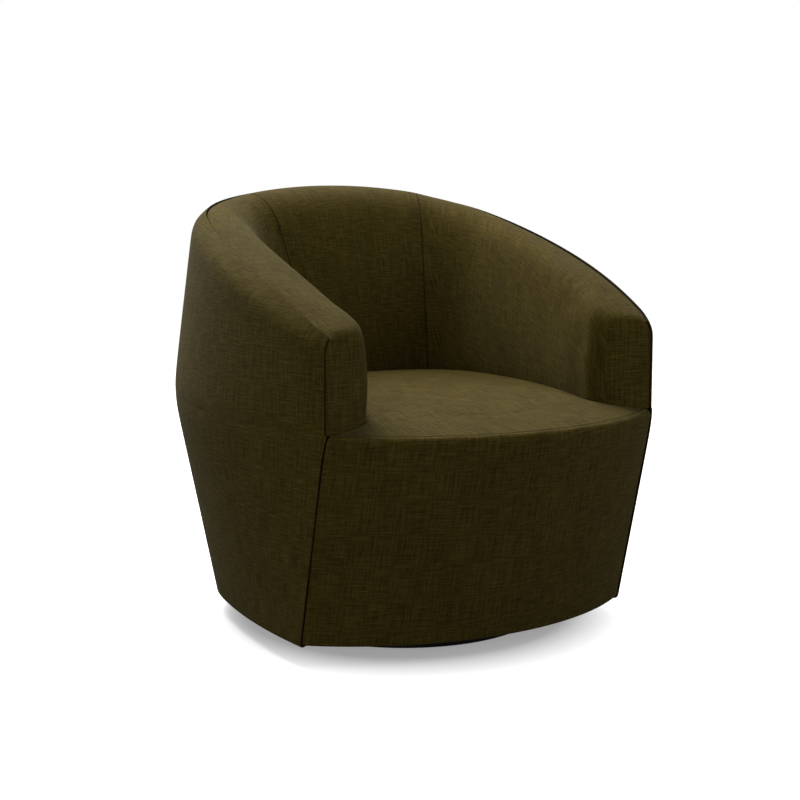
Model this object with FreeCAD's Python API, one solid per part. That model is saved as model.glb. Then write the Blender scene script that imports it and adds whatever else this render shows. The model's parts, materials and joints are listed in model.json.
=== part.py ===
import FreeCAD, Part
import math
import os

from FreeCAD import Vector

# Swivel chair with a barrel back, in millimetres.
# The sitter faces -Y, the sitter's left is +X and +Z is up.
# The origin lies on the floor, on the axis that the chair turns about.

# Plan of the chair at the seam that runs round it at seat height
seam_height = 420.0
seam_corner_x = 330.0
seam_corner_y = -345.0
seam_front_bow = 128.0
seam_half_width = 405.0
seam_widest_y = 10.0
seam_back_y = 414.0
seam_corner_radius = 190.0
seam_back_radius = 1150.0

# Plan of the chair at its lower edge
foot_height = 42.0
foot_corner_x = 331.0
foot_corner_y = -250.0
foot_front_bow = 106.0
foot_half_width = 346.0
foot_widest_y = -23.0
foot_back_y = 338.0
foot_corner_radius = 235.0
foot_back_radius = 900.0

# Plan of the seat between the arms and the back
seat_corner_x = 222.0
seat_corner_y = -324.0
seat_half_width = 228.0
seat_widest_y = -215.0
seat_back_y = 143.0
seat_corner_radius = 95.0
seat_back_radius = 450.0

# Rim of the arms and back, from the arm front to the middle of the back
arm_edge_rise = 167.0
back_edge_rise = 402.0
edge_lean_share = 0.105
edge_curl = 21.0
arm_crown_reach = 42.0
back_crown_reach = 28.0
arm_crown_rise = 21.0
back_crown_rise = 5.0
arm_top_width = 106.0
back_top_width = 82.0
arm_shoulder_drop = 26.0
back_shoulder_drop = 31.0
inside_swell = 7.0
arm_round_radius = 70.0
arm_front_depth = 50.0
arm_front_edge_radius = 20.0

# Upholstery
cover_thickness = 5.0
seam_gap = 0.4
seat_side_gap = 2.0
foam_gap = 1.0
seat_meets_back_rise = 27.0
seat_crown_rise = 37.0
seat_top_radius = 3000.0
seat_draw_in = 42.0
arm_foam = 45.0
back_foam = 75.0
dust_cover_thickness = 1.2

# Wooden frame
board_thickness = 18.0
rail_bottom = 300.0
rail_height = 30.0
rail_width = 60.0
frame_gap = 3.0
rib_gap = 8.0
rib_thickness = 18.0
rib_foot_inset = 36.0
lower_rib_depth = 62.0
top_rail_depth = 45.0
top_rail_height = 18.0
top_rail_drop = 30.0
spring_rail_front = 118.0
spring_rail_back = 222.0
corner_block_leg = 70.0

# Webbing and deck cloth under the seat
strap_width = 50.0
strap_thickness = 2.0
strap_gap = 0.2
strap_landing = 20.0
lengthwise_count = 4
lengthwise_spacing = 95.0
crosswise_count = 3
crosswise_spacing = 124.0
crosswise_middle_y = -86.0
cloth_thickness = 2.0
cloth_overhang = 40.0

# Swivel: two pressed plates with a ball ring between them
plate_width = 230.0
plate_thickness = 2.5
plate_corner_radius = 14.0
race_radius = 100.0
swivel_height = 9.0
ball_radius = 4.7
ball_gap = 0.1
ball_count = 12
cage_width = 16.0
cage_thickness = 1.2
cage_hole_gap = 0.3
bolt_inset = 18.0
bolt_radius = 3.0
bolt_head_radius = 6.0
bolt_head_height = 3.0
bolt_nut_radius = 5.8
bolt_nut_height = 5.0
bolt_hole_gap = 0.3
screw_radius = 2.2
screw_head_radius = 4.5
screw_head_height = 2.4
screw_length = 18.0
screw_hole_gap = 0.1
rivet_radius = 8.0
rivet_flange_radius = 13.0
rivet_flange_height = 2.5
rivet_running_gap = 0.06
rivet_lift = 0.1
pocket_gap = 3.0
swivel_hole_gap = 4.0

# Base disc
disc_radius = 266.0
disc_thickness = 28.0
disc_edge_bevel = 3.0
felt_radius = 250.0
felt_thickness = 3.0

# One overrun serves every cut
overrun = 20.0

# Heights that follow from the sizes above
arm_edge_height = seam_height + arm_edge_rise
back_edge_height = seam_height + back_edge_rise
seat_meets_back_height = seam_height + seat_meets_back_rise
seat_top_height = seam_height + seat_crown_rise
disc_top = felt_thickness + disc_thickness
lower_plate_top = disc_top + plate_thickness
upper_plate_bottom = lower_plate_top + swivel_height
board_bottom = upper_plate_bottom + plate_thickness
bolt_spacing = plate_width - 2 * bolt_inset
ball_height = (lower_plate_top + upper_plate_bottom) / 2
board_top = board_bottom + board_thickness
rail_top = rail_bottom + rail_height
lengthwise_top = rail_top + strap_thickness
crosswise_bottom = lengthwise_top + strap_gap
crosswise_top = crosswise_bottom + strap_thickness
cloth_bottom = crosswise_top + seam_gap
cloth_top = cloth_bottom + cloth_thickness
pad_bottom = cloth_top + seam_gap

# Stations along each stretch of the rim, and sides of the small round pieces
side_stations = 7
corner_stations = 6
back_stations = 7
front_stations = 7
hardware_sides = 8

# Places along the rim, from 0 at the arm front to 1 at the middle of the back
arm_rib_shares = (0.062, 0.22, 0.38, 0.54, 0.70)
back_rib_shares = (0.86, 1.0, 1.14)
lower_rib_shares = (0.06, 0.30, 0.54, 0.78, 1.0)
front_rib_shares = (0.0, 0.5)

# Places round the inner front corner of an arm, as shares of its turn
arm_turn_shares = (0, 0.06, 0.22, 0.5, 1)


def make_plan(corner, front_bow, widest, back_y, corner_radius, back_radius):
    """Plan outline of the left half as arcs (centre x, centre y, radius, first angle, last angle).

    The front arc runs from the middle to the corner. The side, corner and back arcs are tangent
    to each other, and the side arc is square to X at the widest point.
    """
    corner_x, corner_y = corner
    widest_x, widest_y = widest
    front_radius = (corner_x ** 2 + front_bow ** 2) / (2 * front_bow)
    front_centre_y = corner_y - front_bow + front_radius
    draw_in = widest_x - corner_x
    side_radius = ((widest_y - corner_y) ** 2 + draw_in ** 2) / (2 * draw_in)
    side_centre_x = widest_x - side_radius
    back_centre_y = back_y - back_radius
    to_side = side_radius - corner_radius
    to_back = back_radius - corner_radius
    step_x = -side_centre_x
    step_y = back_centre_y - widest_y
    span = math.hypot(step_x, step_y)
    along = (to_side ** 2 - to_back ** 2 + span ** 2) / (2 * span)
    off = math.sqrt(to_side ** 2 - along ** 2)
    centre_x = side_centre_x + (step_x * along - step_y * off) / span
    centre_y = widest_y + (step_y * along + step_x * off) / span
    angle_front = math.atan2(corner_y - front_centre_y, corner_x)
    angle_corner = math.atan2(corner_y - widest_y, corner_x - side_centre_x)
    angle_side = math.atan2(centre_y - widest_y, centre_x - side_centre_x)
    angle_back = math.atan2(centre_y - back_centre_y, centre_x)
    return {
        "front": (0, front_centre_y, front_radius, -math.pi / 2, angle_front),
        "side": (side_centre_x, widest_y, side_radius, angle_corner, angle_side),
        "corner": (centre_x, centre_y, corner_radius, angle_side, angle_back),
        "back": (0, back_centre_y, back_radius, angle_back, math.pi / 2),
    }


def plan_at(height):
    """Plan of the tapered lower body at a height between its lower edge and the seam."""
    share = (height - foot_height) / (seam_height - foot_height)

    def between(low, high):
        return low + (high - low) * share

    corner = (between(foot_corner_x, seam_corner_x), between(foot_corner_y, seam_corner_y))
    widest = (between(foot_half_width, seam_half_width), between(foot_widest_y, seam_widest_y))
    return make_plan(
        corner,
        between(foot_front_bow, seam_front_bow),
        widest,
        between(foot_back_y, seam_back_y),
        between(foot_corner_radius, seam_corner_radius),
        between(foot_back_radius, seam_back_radius),
    )


def seat_plan():
    """Plan of the seat's inner outline. Its front arc is not used."""
    corner = (seat_corner_x, seat_corner_y)
    widest = (seat_half_width, seat_widest_y)
    return make_plan(corner, seam_front_bow, widest, seat_back_y, seat_corner_radius, seat_back_radius)


def smaller_arc(arc, inset):
    """The same arc with a smaller radius."""
    centre_x, centre_y, radius, first, last = arc
    return (centre_x, centre_y, radius - inset, first, last)


def inset_plan(plan, inset):
    """The same plan moved inwards all round, with the front corner mitred again."""
    front_x, front_y, front_radius, front_first, _ = smaller_arc(plan["front"], inset)
    side_x, side_y, side_radius, _, side_last = smaller_arc(plan["side"], inset)
    step_x = front_x - side_x
    step_y = front_y - side_y
    span = math.hypot(step_x, step_y)
    along = (side_radius ** 2 - front_radius ** 2 + span ** 2) / (2 * span)
    off = math.sqrt(side_radius ** 2 - along ** 2)
    corner_x = side_x + (step_x * along + step_y * off) / span
    corner_y = side_y + (step_y * along - step_x * off) / span
    front_last = math.atan2(corner_y - front_y, corner_x - front_x)
    side_first = math.atan2(corner_y - side_y, corner_x - side_x)
    moved = {
        "front": (front_x, front_y, front_radius, front_first, front_last),
        "side": (side_x, side_y, side_radius, side_first, side_last),
    }
    for name in ("corner", "back"):
        moved[name] = smaller_arc(plan[name], inset)
    return moved


def arc_point(arc, share, height=0):
    """Point on an arc, at a share of its turn."""
    centre_x, centre_y, radius, first, last = arc
    angle = first + (last - first) * share
    return Vector(centre_x + radius * math.cos(angle), centre_y + radius * math.sin(angle), height)


def arc_edge(arc, height, first_share=0, last_share=1):
    """Edge along a part of an arc."""
    middle_share = (first_share + last_share) / 2
    points = [arc_point(arc, share, height) for share in (first_share, middle_share, last_share)]
    return Part.Arc(*points).toShape()


def mirrored(shape):
    """The same shape on the sitter's other side."""
    return shape.mirror(Vector(0, 0, 0), Vector(1, 0, 0))


def whole_outline(plan, height):
    """Closed wire round a whole plan."""
    half = [arc_edge(plan[name], height) for name in ("front", "side", "corner", "back")]
    both = half + [mirrored(edge) for edge in half]
    return Part.Wire(Part.__sortEdges__(both))


def strip_outline(outer, inner, names, height):
    """Closed wire of a strip between two plans, along the named arcs of the left half."""
    outer_edges = [arc_edge(outer[name], height) for name in names]
    inner_edges = [arc_edge(inner[name], height) for name in names]
    ends = []
    for name, share in ((names[0], 0), (names[-1], 1)):
        start = arc_point(outer[name], share, height)
        finish = arc_point(inner[name], share, height)
        ends.append(Part.makeLine(start, finish))
    return Part.Wire(Part.__sortEdges__(outer_edges + inner_edges + ends))


def middle_strip_outline(outer_arc, inner_arc, end_share, height):
    """Closed wire of a strip that crosses the middle plane, along one arc on both sides."""
    edges = []
    tips = []
    for arc in (outer_arc, inner_arc):
        tip = arc_point(arc, end_share, height)
        other_tip = Vector(-tip.x, tip.y, tip.z)
        crown = arc_point(arc, 1 - end_share, height)
        edges.append(Part.Arc(other_tip, crown, tip).toShape())
        tips.append((other_tip, tip))
    for start, finish in zip(tips[0], tips[1]):
        edges.append(Part.makeLine(start, finish))
    return Part.Wire(Part.__sortEdges__(edges))


def prism(wire, height):
    """Upright prism over a flat closed wire."""
    return Part.Face(wire).extrude(Vector(0, 0, height))


def tapered_core(inset, top):
    """Tapered solid inside the lower body, at an inset from its outside, up to a height."""
    wires = []
    for height in (foot_height, top):
        wires.append(whole_outline(inset_plan(plan_at(height), inset), height))
    return Part.makeLoft(wires, True, True)


def tube(outer_radius, inner_radius, bottom, height):
    """Upright tube about the swivel axis."""
    solid = Part.makeCylinder(outer_radius, height, Vector(0, 0, bottom))
    bore = Part.makeCylinder(inner_radius, height + 2 * overrun, Vector(0, 0, bottom - overrun))
    return solid.cut(bore)


# Rim stations: upright planes that run from the outside of the chair to the seat

outer_plan = make_plan(
    (seam_corner_x, seam_corner_y),
    seam_front_bow,
    (seam_half_width, seam_widest_y),
    seam_back_y,
    seam_corner_radius,
    seam_back_radius,
)
inner_plan = seat_plan()
rim_arcs = ("side", "corner", "back")
rim_lengths = [outer_plan[name][2] * (outer_plan[name][4] - outer_plan[name][3]) for name in rim_arcs]
rim_length = sum(rim_lengths)
back_seam_share = (rim_lengths[0] + rim_lengths[1]) / rim_length


def rim_place(share):
    """Name of the rim arc at a share of the rim, and the share of that arc's own turn."""
    distance = share * rim_length
    for name, length in zip(rim_arcs, rim_lengths):
        if distance <= length or name == rim_arcs[-1]:
            return name, min(distance / length, 1)
        distance = distance - length


def station(share):
    """Station at a share of the rim: start point outside, direction inwards, thickness.

    Shares above 1 run on round the other half of the chair.
    """
    half_share = min(share, 2 - share)
    side = 1 if share <= 1 else -1
    name, arc_share = rim_place(half_share)
    start = arc_point(outer_plan[name], arc_share)
    finish = arc_point(inner_plan[name], arc_share)
    step = finish - start
    thickness = step.Length
    direction = Vector(side * step.x / thickness, step.y / thickness, 0)
    origin = Vector(side * start.x, start.y, 0)
    return origin, direction, thickness


def station_point(place, reach, height):
    """Point in a station's plane, at a reach inwards and a height."""
    origin, direction, _ = place
    return origin + direction * reach + Vector(0, 0, height)


def rim_sizes(share):
    """Sizes of the rim's section at a share of the rim."""
    half_share = min(share, 2 - share)
    _, _, thickness = station(share)
    rise = math.sin(math.pi / 2 * half_share)
    edge_height = arm_edge_height + (back_edge_height - arm_edge_height) * rise
    above = edge_height - seam_height
    full_above = back_edge_height - seam_height
    lean = edge_lean_share * (1 - (1 - half_share) ** 3) * above
    edge_reach = lean + edge_curl * (above / full_above) ** 5

    def along(arm_size, back_size):
        return arm_size + (back_size - arm_size) * half_share

    from_front = half_share * rim_length
    to_round = max(arm_round_radius - from_front, 0)
    cut_back = arm_round_radius - math.sqrt(arm_round_radius ** 2 - to_round ** 2)
    kept = 1 - cut_back / thickness
    to_edge = max(arm_front_edge_radius - from_front, 0)
    edge_drop = arm_front_edge_radius - math.sqrt(arm_front_edge_radius ** 2 - to_edge ** 2)
    return {
        "edge_height": edge_height,
        "edge_reach": edge_reach,
        "lean": lean,
        "face": thickness - cut_back,
        "crown_reach": edge_reach + along(arm_crown_reach, back_crown_reach) * kept,
        "crown_height": edge_height + along(arm_crown_rise, back_crown_rise) * kept - edge_drop,
        "shoulder_reach": edge_reach + along(arm_top_width, back_top_width) - cut_back,
        "shoulder_height": edge_height - along(arm_shoulder_drop, back_shoulder_drop) * kept - edge_drop,
        "foam": along(arm_foam, back_foam),
        "rail_top": edge_height - top_rail_drop,
    }


def section_wire(place, outline):
    """Closed wire in a station's plane. Each step of the outline is a line to, or an arc through."""
    start = station_point(place, *outline[0])
    here = start
    edges = []
    for step in outline[1:] + [outline[0]]:
        finish = station_point(place, *step[-2:])
        if len(step) == 4:
            through = station_point(place, *step[:2])
            edges.append(Part.Arc(here, through, finish).toShape())
        else:
            edges.append(Part.makeLine(here, finish))
        here = finish
    return Part.Wire(edges)


def crown_steps(sizes):
    """Steps of a section from the rim's outer edge over the crown and down the inside."""
    face = sizes["face"]
    shoulder = (sizes["shoulder_reach"], sizes["shoulder_height"])
    middle_reach = (shoulder[0] + face) / 2 + inside_swell
    middle_height = (shoulder[1] + seat_meets_back_height) / 2
    return [
        (sizes["crown_reach"], sizes["crown_height"], shoulder[0], shoulder[1]),
        (middle_reach, middle_height, face, seat_meets_back_height),
        (face, pad_bottom),
    ]


def outside_section(share):
    """Section of the outside cover: a thin wall that leans in and curls in at its top."""
    place = station(share)
    sizes = rim_sizes(share)
    bottom = seam_height + seam_gap
    top = sizes["edge_height"]
    reach = sizes["edge_reach"]
    middle = (bottom + top) / 2
    middle_reach = sizes["lean"] / 2
    return section_wire(place, [
        (0, bottom),
        (middle_reach, middle, reach, top),
        (reach + cover_thickness, top),
        (middle_reach + cover_thickness, middle, cover_thickness, bottom),
    ])


def inside_section(share):
    """Section of an inside pad: foam over the top rail and down the inside face."""
    place = station(share)
    sizes = rim_sizes(share)
    edge = sizes["edge_reach"] + cover_thickness + foam_gap
    rail_side = sizes["edge_reach"] + cover_thickness + top_rail_depth + 2 * frame_gap
    rail_cover = sizes["rail_top"] + foam_gap
    outline = [(edge, sizes["edge_height"])]
    outline += crown_steps(sizes)
    outline += [
        (sizes["face"] - sizes["foam"] + frame_gap, pad_bottom),
        (rail_side, rail_cover),
        (edge, rail_cover),
    ]
    return section_wire(place, outline)


def arm_front_section(share):
    """Section of the arm front pad, which fills the arm in front of its first rib."""
    place = station(share)
    sizes = rim_sizes(share)
    edge = sizes["edge_reach"] + cover_thickness + foam_gap
    outline = [(edge, sizes["edge_height"])]
    outline += crown_steps(sizes)
    outline += [
        (rib_foot_inset, pad_bottom),
        (cover_thickness + frame_gap, seam_height + seam_gap),
    ]
    return section_wire(place, outline)


def rail_section(share):
    """Section of a top rail, flat boards under the rim."""
    place = station(share)
    sizes = rim_sizes(share)
    near = sizes["edge_reach"] + cover_thickness + frame_gap
    top = sizes["rail_top"]
    return section_wire(place, [
        (near, top),
        (near + top_rail_depth, top),
        (near + top_rail_depth, top - top_rail_height),
        (near, top - top_rail_height),
    ])


def loft_along(section, shares):
    """Solid through one section at each share of the rim."""
    return Part.makeLoft([section(share) for share in shares], True, True)


def even_shares(first, last, count):
    """Shares spaced evenly from first to last, both included."""
    return [first + (last - first) * number / (count - 1) for number in range(count)]


def arm_shares():
    """Shares of the stations along an arm, from behind the arm front to the back seam."""
    corner_share = rim_lengths[0] / rim_length
    along_side = even_shares(arm_front_depth / rim_length, corner_share, side_stations)
    return along_side + even_shares(corner_share, back_seam_share, corner_stations)[1:]


def back_shares():
    """Shares of the stations across the back, from seam to seam."""
    return even_shares(back_seam_share, 2 - back_seam_share, back_stations)


# Upholstery

def make_outside_arm():
    """Outside arm cover of the left side, from the arm front to the back seam."""
    return loft_along(outside_section, [0] + arm_shares())


def make_outside_back():
    """Outside back cover between the two back seams."""
    return loft_along(outside_section, back_shares())


def make_inside_arm():
    """Inside arm pad of the left side, from behind the arm front to the back seam."""
    return loft_along(inside_section, arm_shares())


def make_inside_back():
    """Inside back pad between the two back seams."""
    return loft_along(inside_section, back_shares())


def make_arm_front_pad():
    """Arm front pad of the left side, flat in front with a round inner corner."""
    last = (arm_front_depth - seam_gap) / rim_length
    return loft_along(arm_front_section, [share * last for share in arm_turn_shares])


def square_to(direction):
    """Flat direction square to another, a quarter turn anticlockwise from it."""
    return Vector(-direction.y, direction.x, 0).normalize()


def arm_round_points(gap, height):
    """Points round the inner front corner of the left arm, a gap away from the arm."""
    shares = [share * arm_round_radius / rim_length for share in arm_turn_shares]
    points = [station_point(station(share), rim_sizes(share)["face"], height) for share in shares]
    moved = [points[0] + square_to(station(0)[1]) * gap]
    for before, point, after in zip(points, points[1:], points[2:]):
        moved.append(point + square_to(after - before) * gap)
    end_share = arm_round_radius / rim_lengths[0]
    moved.append(arc_point(smaller_arc(inner_plan["side"], gap), end_share, height))
    return moved


def line_meets_circle(point, direction, arc):
    """Point where a line through a point, taken along a direction, leaves a circle."""
    centre = Vector(arc[0], arc[1], 0)
    offset = point - centre
    half = offset.dot(direction)
    root = math.sqrt(half ** 2 - offset.dot(offset) + arc[2] ** 2)
    return point + direction * (-half - root)


def seat_outline(height):
    """Closed wire round the seat pad, which runs in front of the arms to the front corners."""
    origin, inwards, _ = station(0)
    front = outer_plan["front"]
    line_start = origin + square_to(inwards) * seat_side_gap
    corner = line_meets_circle(line_start, inwards, front)
    corner_angle = math.atan2(corner.y - front[1], corner.x)
    corner.z = height
    turn = arm_round_points(seat_side_gap, height)
    inner = {name: smaller_arc(inner_plan[name], seat_side_gap) for name in rim_arcs}
    half = [
        arc_edge(front[:4] + (corner_angle,), height),
        Part.makeLine(corner, turn[0]),
        Part.Arc(*turn[:3]).toShape(),
        Part.Arc(*turn[2:]).toShape(),
        arc_edge(inner["side"], height, arm_round_radius / rim_lengths[0], 1),
        arc_edge(inner["corner"], height),
        arc_edge(inner["back"], height),
    ]
    both = half + [mirrored(edge) for edge in half]
    return Part.Wire(Part.__sortEdges__(both))


def make_seat_pad():
    """Tight seat pad: a crowned top over the whole seat, drawn in below the front seam."""
    _, centre_y, radius, _, _ = outer_plan["front"]
    top_radius = radius - cover_thickness - frame_gap
    block = prism(seat_outline(pad_bottom), seat_top_height)
    height = seat_top_height - pad_bottom
    foot = Vector(0, centre_y, pad_bottom)
    core = Part.makeCone(top_radius - seat_draw_in, top_radius, height, foot)
    ball = Part.makeSphere(seat_top_radius, Vector(0, 0, seat_top_height - seat_top_radius))
    return block.common(core).common(ball)


def panel_row(name, arc_share, side):
    """Corner points of a lower panel's section: seam and foot outside, foot and seam inside."""
    row = []
    heights = (seam_height, foot_height)
    for insets, order in (((0, 0), heights), ((cover_thickness, cover_thickness), heights[::-1])):
        for inset, height in zip(insets, order):
            point = arc_point(inset_plan(plan_at(height), inset)[name], arc_share, height)
            row.append(Vector(side * point.x, point.y, point.z))
    return row


def bridged(rows):
    """Solid through rows of four corner points, with a straight-edged patch from row to row."""
    patches = []
    for row, following in zip(rows, rows[1:]):
        for number in range(len(row)):
            near = Part.makeLine(row[number - 1], row[number])
            far = Part.makeLine(following[number - 1], following[number])
            patches.append(Part.makeRuledSurface(near, far))
    for row in (rows[0], rows[-1]):
        outside = Part.makeLine(row[0], row[1])
        inside = Part.makeLine(row[3], row[2])
        patches.append(Part.makeRuledSurface(outside, inside))
    shell = Part.makeShell(patches)
    shell.sewShape()
    solid = Part.makeSolid(shell)
    if solid.Volume < 0:
        solid.reverse()
    return solid


def rim_rows(shares):
    """Rows of a lower panel under the given shares of the rim."""
    rows = []
    for share in shares:
        name, arc_share = rim_place(min(share, 2 - share))
        side = 1 if share <= 1 else -1
        rows.append(panel_row(name, arc_share, side))
    return rows


def make_lower_panel():
    """Lower panel of the left side, drawn in from the seam to the foot."""
    return bridged(rim_rows([0] + arm_shares()))


def make_lower_back_panel():
    """Lower panel under the outside back."""
    return bridged(rim_rows(back_shares()))


def make_lower_front_panel():
    """Lower panel across the bowed front, from corner to corner."""
    shares = even_shares(1, 0, front_stations)
    left_half = [panel_row("front", share, 1) for share in shares]
    right_half = [panel_row("front", share, -1) for share in shares[::-1]]
    return bridged(left_half + right_half[1:])


def make_dust_cover():
    """Dust cover under the base board, open round the swivel."""
    bottom = board_bottom - dust_cover_thickness
    inset = cover_thickness + frame_gap
    sheet = prism(whole_outline(inset_plan(plan_at(foot_height), inset), bottom), dust_cover_thickness)
    reach = plate_width / 2 * math.sqrt(2) + swivel_hole_gap
    hole = Part.makeCylinder(reach, dust_cover_thickness + 2 * overrun, Vector(0, 0, bottom - overrun))
    return sheet.cut(hole)


# Wooden frame

def make_base_board():
    """Board at the bottom of the frame, with holes for the swivel's bolts and rivet."""
    inset = cover_thickness + frame_gap
    board = prism(whole_outline(inset_plan(plan_at(foot_height), inset), board_bottom), board_thickness)
    depth = board_thickness + 2 * overrun
    start = board_bottom - overrun
    hole_radius = rivet_flange_radius + pocket_gap
    board = board.cut(Part.makeCylinder(hole_radius, depth, Vector(0, 0, start)))
    for x, y in square_corners(bolt_spacing):
        board = board.cut(Part.makeCylinder(bolt_radius + bolt_hole_gap, depth, Vector(x, y, start)))
    return board


def rail_plans():
    """Outer and inner plan of the seat rails."""
    outer = inset_plan(plan_at(rail_bottom), cover_thickness + frame_gap)
    return outer, inset_plan(outer, rail_width)


def make_side_rail():
    """Seat rail of the left side, from the front corner to the back seam."""
    outer, inner = rail_plans()
    return prism(strip_outline(outer, inner, ("side", "corner"), rail_bottom), rail_height)


def make_front_rail():
    """Bowed seat rail at the front."""
    outer, inner = rail_plans()
    return prism(middle_strip_outline(outer["front"], inner["front"], 1, rail_bottom), rail_height)


def make_rear_rail():
    """Bowed rail under the back ribs."""
    outer, inner = rail_plans()
    return prism(middle_strip_outline(outer["back"], inner["back"], 0, rail_bottom), rail_height)


def make_spring_rail():
    """Straight rail across the frame, which holds the back ends of the lengthwise straps."""
    depth = spring_rail_back - spring_rail_front
    block = Part.makeBox(
        2 * seam_half_width,
        depth,
        rail_height,
        Vector(-seam_half_width, spring_rail_front, rail_bottom),
    )
    _, inner = rail_plans()
    return block.common(prism(whole_outline(inner, rail_bottom), rail_height))


def make_corner_blocks():
    """Glued blocks in the two front corners of the seat rails."""
    _, inner = rail_plans()
    corner = arc_point(inner["side"], 0, rail_bottom)
    front_turn = inner["front"][4] - inner["front"][3]
    side_turn = inner["side"][4] - inner["side"][3]
    front_share = 1 - corner_block_leg / (inner["front"][2] * front_turn)
    side_share = corner_block_leg / (inner["side"][2] * side_turn)
    along_front = arc_point(inner["front"], front_share, rail_bottom)
    along_side = arc_point(inner["side"], side_share, rail_bottom)
    wire = Part.makePolygon([corner, along_front, along_side, corner])
    block = prism(wire, rail_height)
    return Part.Compound([block, mirrored(block)])


def plate_in_plane(origin, direction, outline, thickness):
    """Plywood plate in an upright plane, centred on it."""
    across = Vector(-direction.y, direction.x, 0)
    corners = []
    for reach, height in outline:
        corners.append(origin + direction * reach + Vector(0, 0, height) - across * (thickness / 2))
    face = Part.Face(Part.makePolygon(corners + corners[:1]))
    return face.extrude(across * thickness)


def make_lower_rib(name, share, core):
    """Plate between the base board and the seat rails, square to the plan at a share of an arc."""
    start = arc_point(outer_plan[name], share)
    foot = arc_point(plan_at(foot_height)[name], share)
    centre = Vector(outer_plan[name][0], outer_plan[name][1], 0)
    direction = (centre - start).normalize()
    draw_in = (foot - start).dot(direction)
    outline = [
        (0, board_top),
        (draw_in + lower_rib_depth, board_top),
        (lower_rib_depth + rib_foot_inset, rail_bottom),
        (0, rail_bottom),
    ]
    return plate_in_plane(start, direction, outline, rib_thickness).common(core)


def make_lower_ribs():
    """Lower ribs all round the frame, cut to the slope of the lower body."""
    core = tapered_core(cover_thickness + frame_gap, seam_height)
    ribs = []
    places = [rim_place(share) for share in lower_rib_shares]
    places += [("front", share) for share in front_rib_shares]
    for name, share in places:
        rib = make_lower_rib(name, share, core)
        ribs.append(rib)
        if rib.BoundBox.XMin > 0:
            ribs.append(mirrored(rib))
    return Part.Compound([solid for rib in ribs for solid in rib.Solids])


def make_rib(share, rail):
    """Rib of the arm or back, from the seat rail up to the top rail that it carries."""
    place = station(share)
    sizes = rim_sizes(share)
    near = sizes["edge_reach"] + cover_thickness + frame_gap
    far = near + top_rail_depth
    foot = sizes["face"] - sizes["foam"] - frame_gap
    top = sizes["rail_top"] - top_rail_height / 2
    outline = [
        (rib_foot_inset, rail_top),
        (cover_thickness + rib_gap, seam_height + frame_gap),
        (near + rib_gap, top),
        (far - frame_gap, top),
        (foot, pad_bottom),
        (foot, rail_top),
    ]
    origin, direction, _ = place
    rib = plate_in_plane(origin, direction, outline, rib_thickness)
    return rib.cut(rail)


def make_arm_rail():
    """Top rail of the left arm."""
    return loft_along(rail_section, arm_shares())


def make_back_top_rail():
    """Top rail of the back."""
    return loft_along(rail_section, back_shares())


# Webbing and deck cloth

def make_lengthwise_straps():
    """Elastic straps from the front rail to the spring rail."""
    _, inner = rail_plans()
    front = inner["front"]
    straps = []
    for number in range(lengthwise_count):
        x = lengthwise_spacing * (number - (lengthwise_count - 1) / 2)
        reach = abs(x) - strap_width / 2
        start = front[1] - math.sqrt(front[2] ** 2 - reach ** 2) - strap_landing
        finish = spring_rail_front + strap_landing
        corner = Vector(x - strap_width / 2, start, rail_top)
        straps.append(Part.makeBox(strap_width, finish - start, strap_thickness, corner))
    return Part.Compound(straps)


def make_crosswise_straps():
    """Elastic straps from side rail to side rail, over the lengthwise ones."""
    _, inner = rail_plans()
    side = inner["side"]
    straps = []
    for number in range(crosswise_count):
        y = crosswise_middle_y + crosswise_spacing * (number - (crosswise_count - 1) / 2)
        reach = side[0] + math.sqrt(side[2] ** 2 - (y - side[1]) ** 2)
        reach = reach + strap_landing - strap_thickness
        corner = Vector(-reach, y - strap_width / 2, crosswise_bottom)
        straps.append(Part.makeBox(2 * reach, strap_width, strap_thickness, corner))
    return Part.Compound(straps)


def make_deck_cloth():
    """Cloth over the straps, under the seat pad and the feet of the inside pads."""
    plan = inset_plan(inner_plan, -cloth_overhang)
    tip = arc_point(plan["side"], 0, cloth_bottom)
    front = Part.makeLine(Vector(0, tip.y, cloth_bottom), tip)
    both = [front] + [arc_edge(plan[name], cloth_bottom) for name in rim_arcs]
    both += [mirrored(edge) for edge in both]
    return prism(Part.Wire(Part.__sortEdges__(both)), cloth_thickness)


# Swivel

def square_corners(spacing):
    """Corners of a square about the swivel axis."""
    half = spacing / 2
    return [(half, half), (-half, half), (-half, -half), (half, -half)]


def pressed_plate(bottom):
    """Square plate with rounded corners, grooved for the balls."""
    corner = Vector(-plate_width / 2, -plate_width / 2, bottom)
    plate = Part.makeBox(plate_width, plate_width, plate_thickness, corner)
    uprights = [edge for edge in plate.Edges if edge.BoundBox.ZLength > plate_thickness / 2]
    return plate.makeFillet(plate_corner_radius, uprights).cut(race_groove())


def sided_prism(sides, radius, centre, height):
    """Upright prism with a regular outline, standing on a centre point."""
    corners = []
    for number in range(sides + 1):
        angle = 2 * math.pi * number / sides
        corners.append(centre + Vector(radius * math.cos(angle), radius * math.sin(angle), 0))
    return prism(Part.makePolygon(corners), height)


def race_groove():
    """Ring with a six-sided section that holds the balls' path, to be cut from both plates."""
    half_height = (ball_radius + ball_gap) / math.cos(math.pi / 6)
    corners = []
    for number in range(7):
        angle = math.pi / 2 + math.pi / 3 * number
        reach = race_radius + half_height * math.cos(angle)
        corners.append(Vector(reach, 0, ball_height + half_height * math.sin(angle)))
    face = Part.Face(Part.makePolygon(corners))
    return face.revolve(Vector(0, 0, 0), Vector(0, 0, 1), 360)


def drilled(shape, radius, spots, bottom):
    """A shape with an upright through hole at each spot."""
    for x, y in spots:
        depth = plate_thickness + 2 * overrun
        shape = shape.cut(Part.makeCylinder(radius, depth, Vector(x, y, bottom - overrun)))
    return shape


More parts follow.
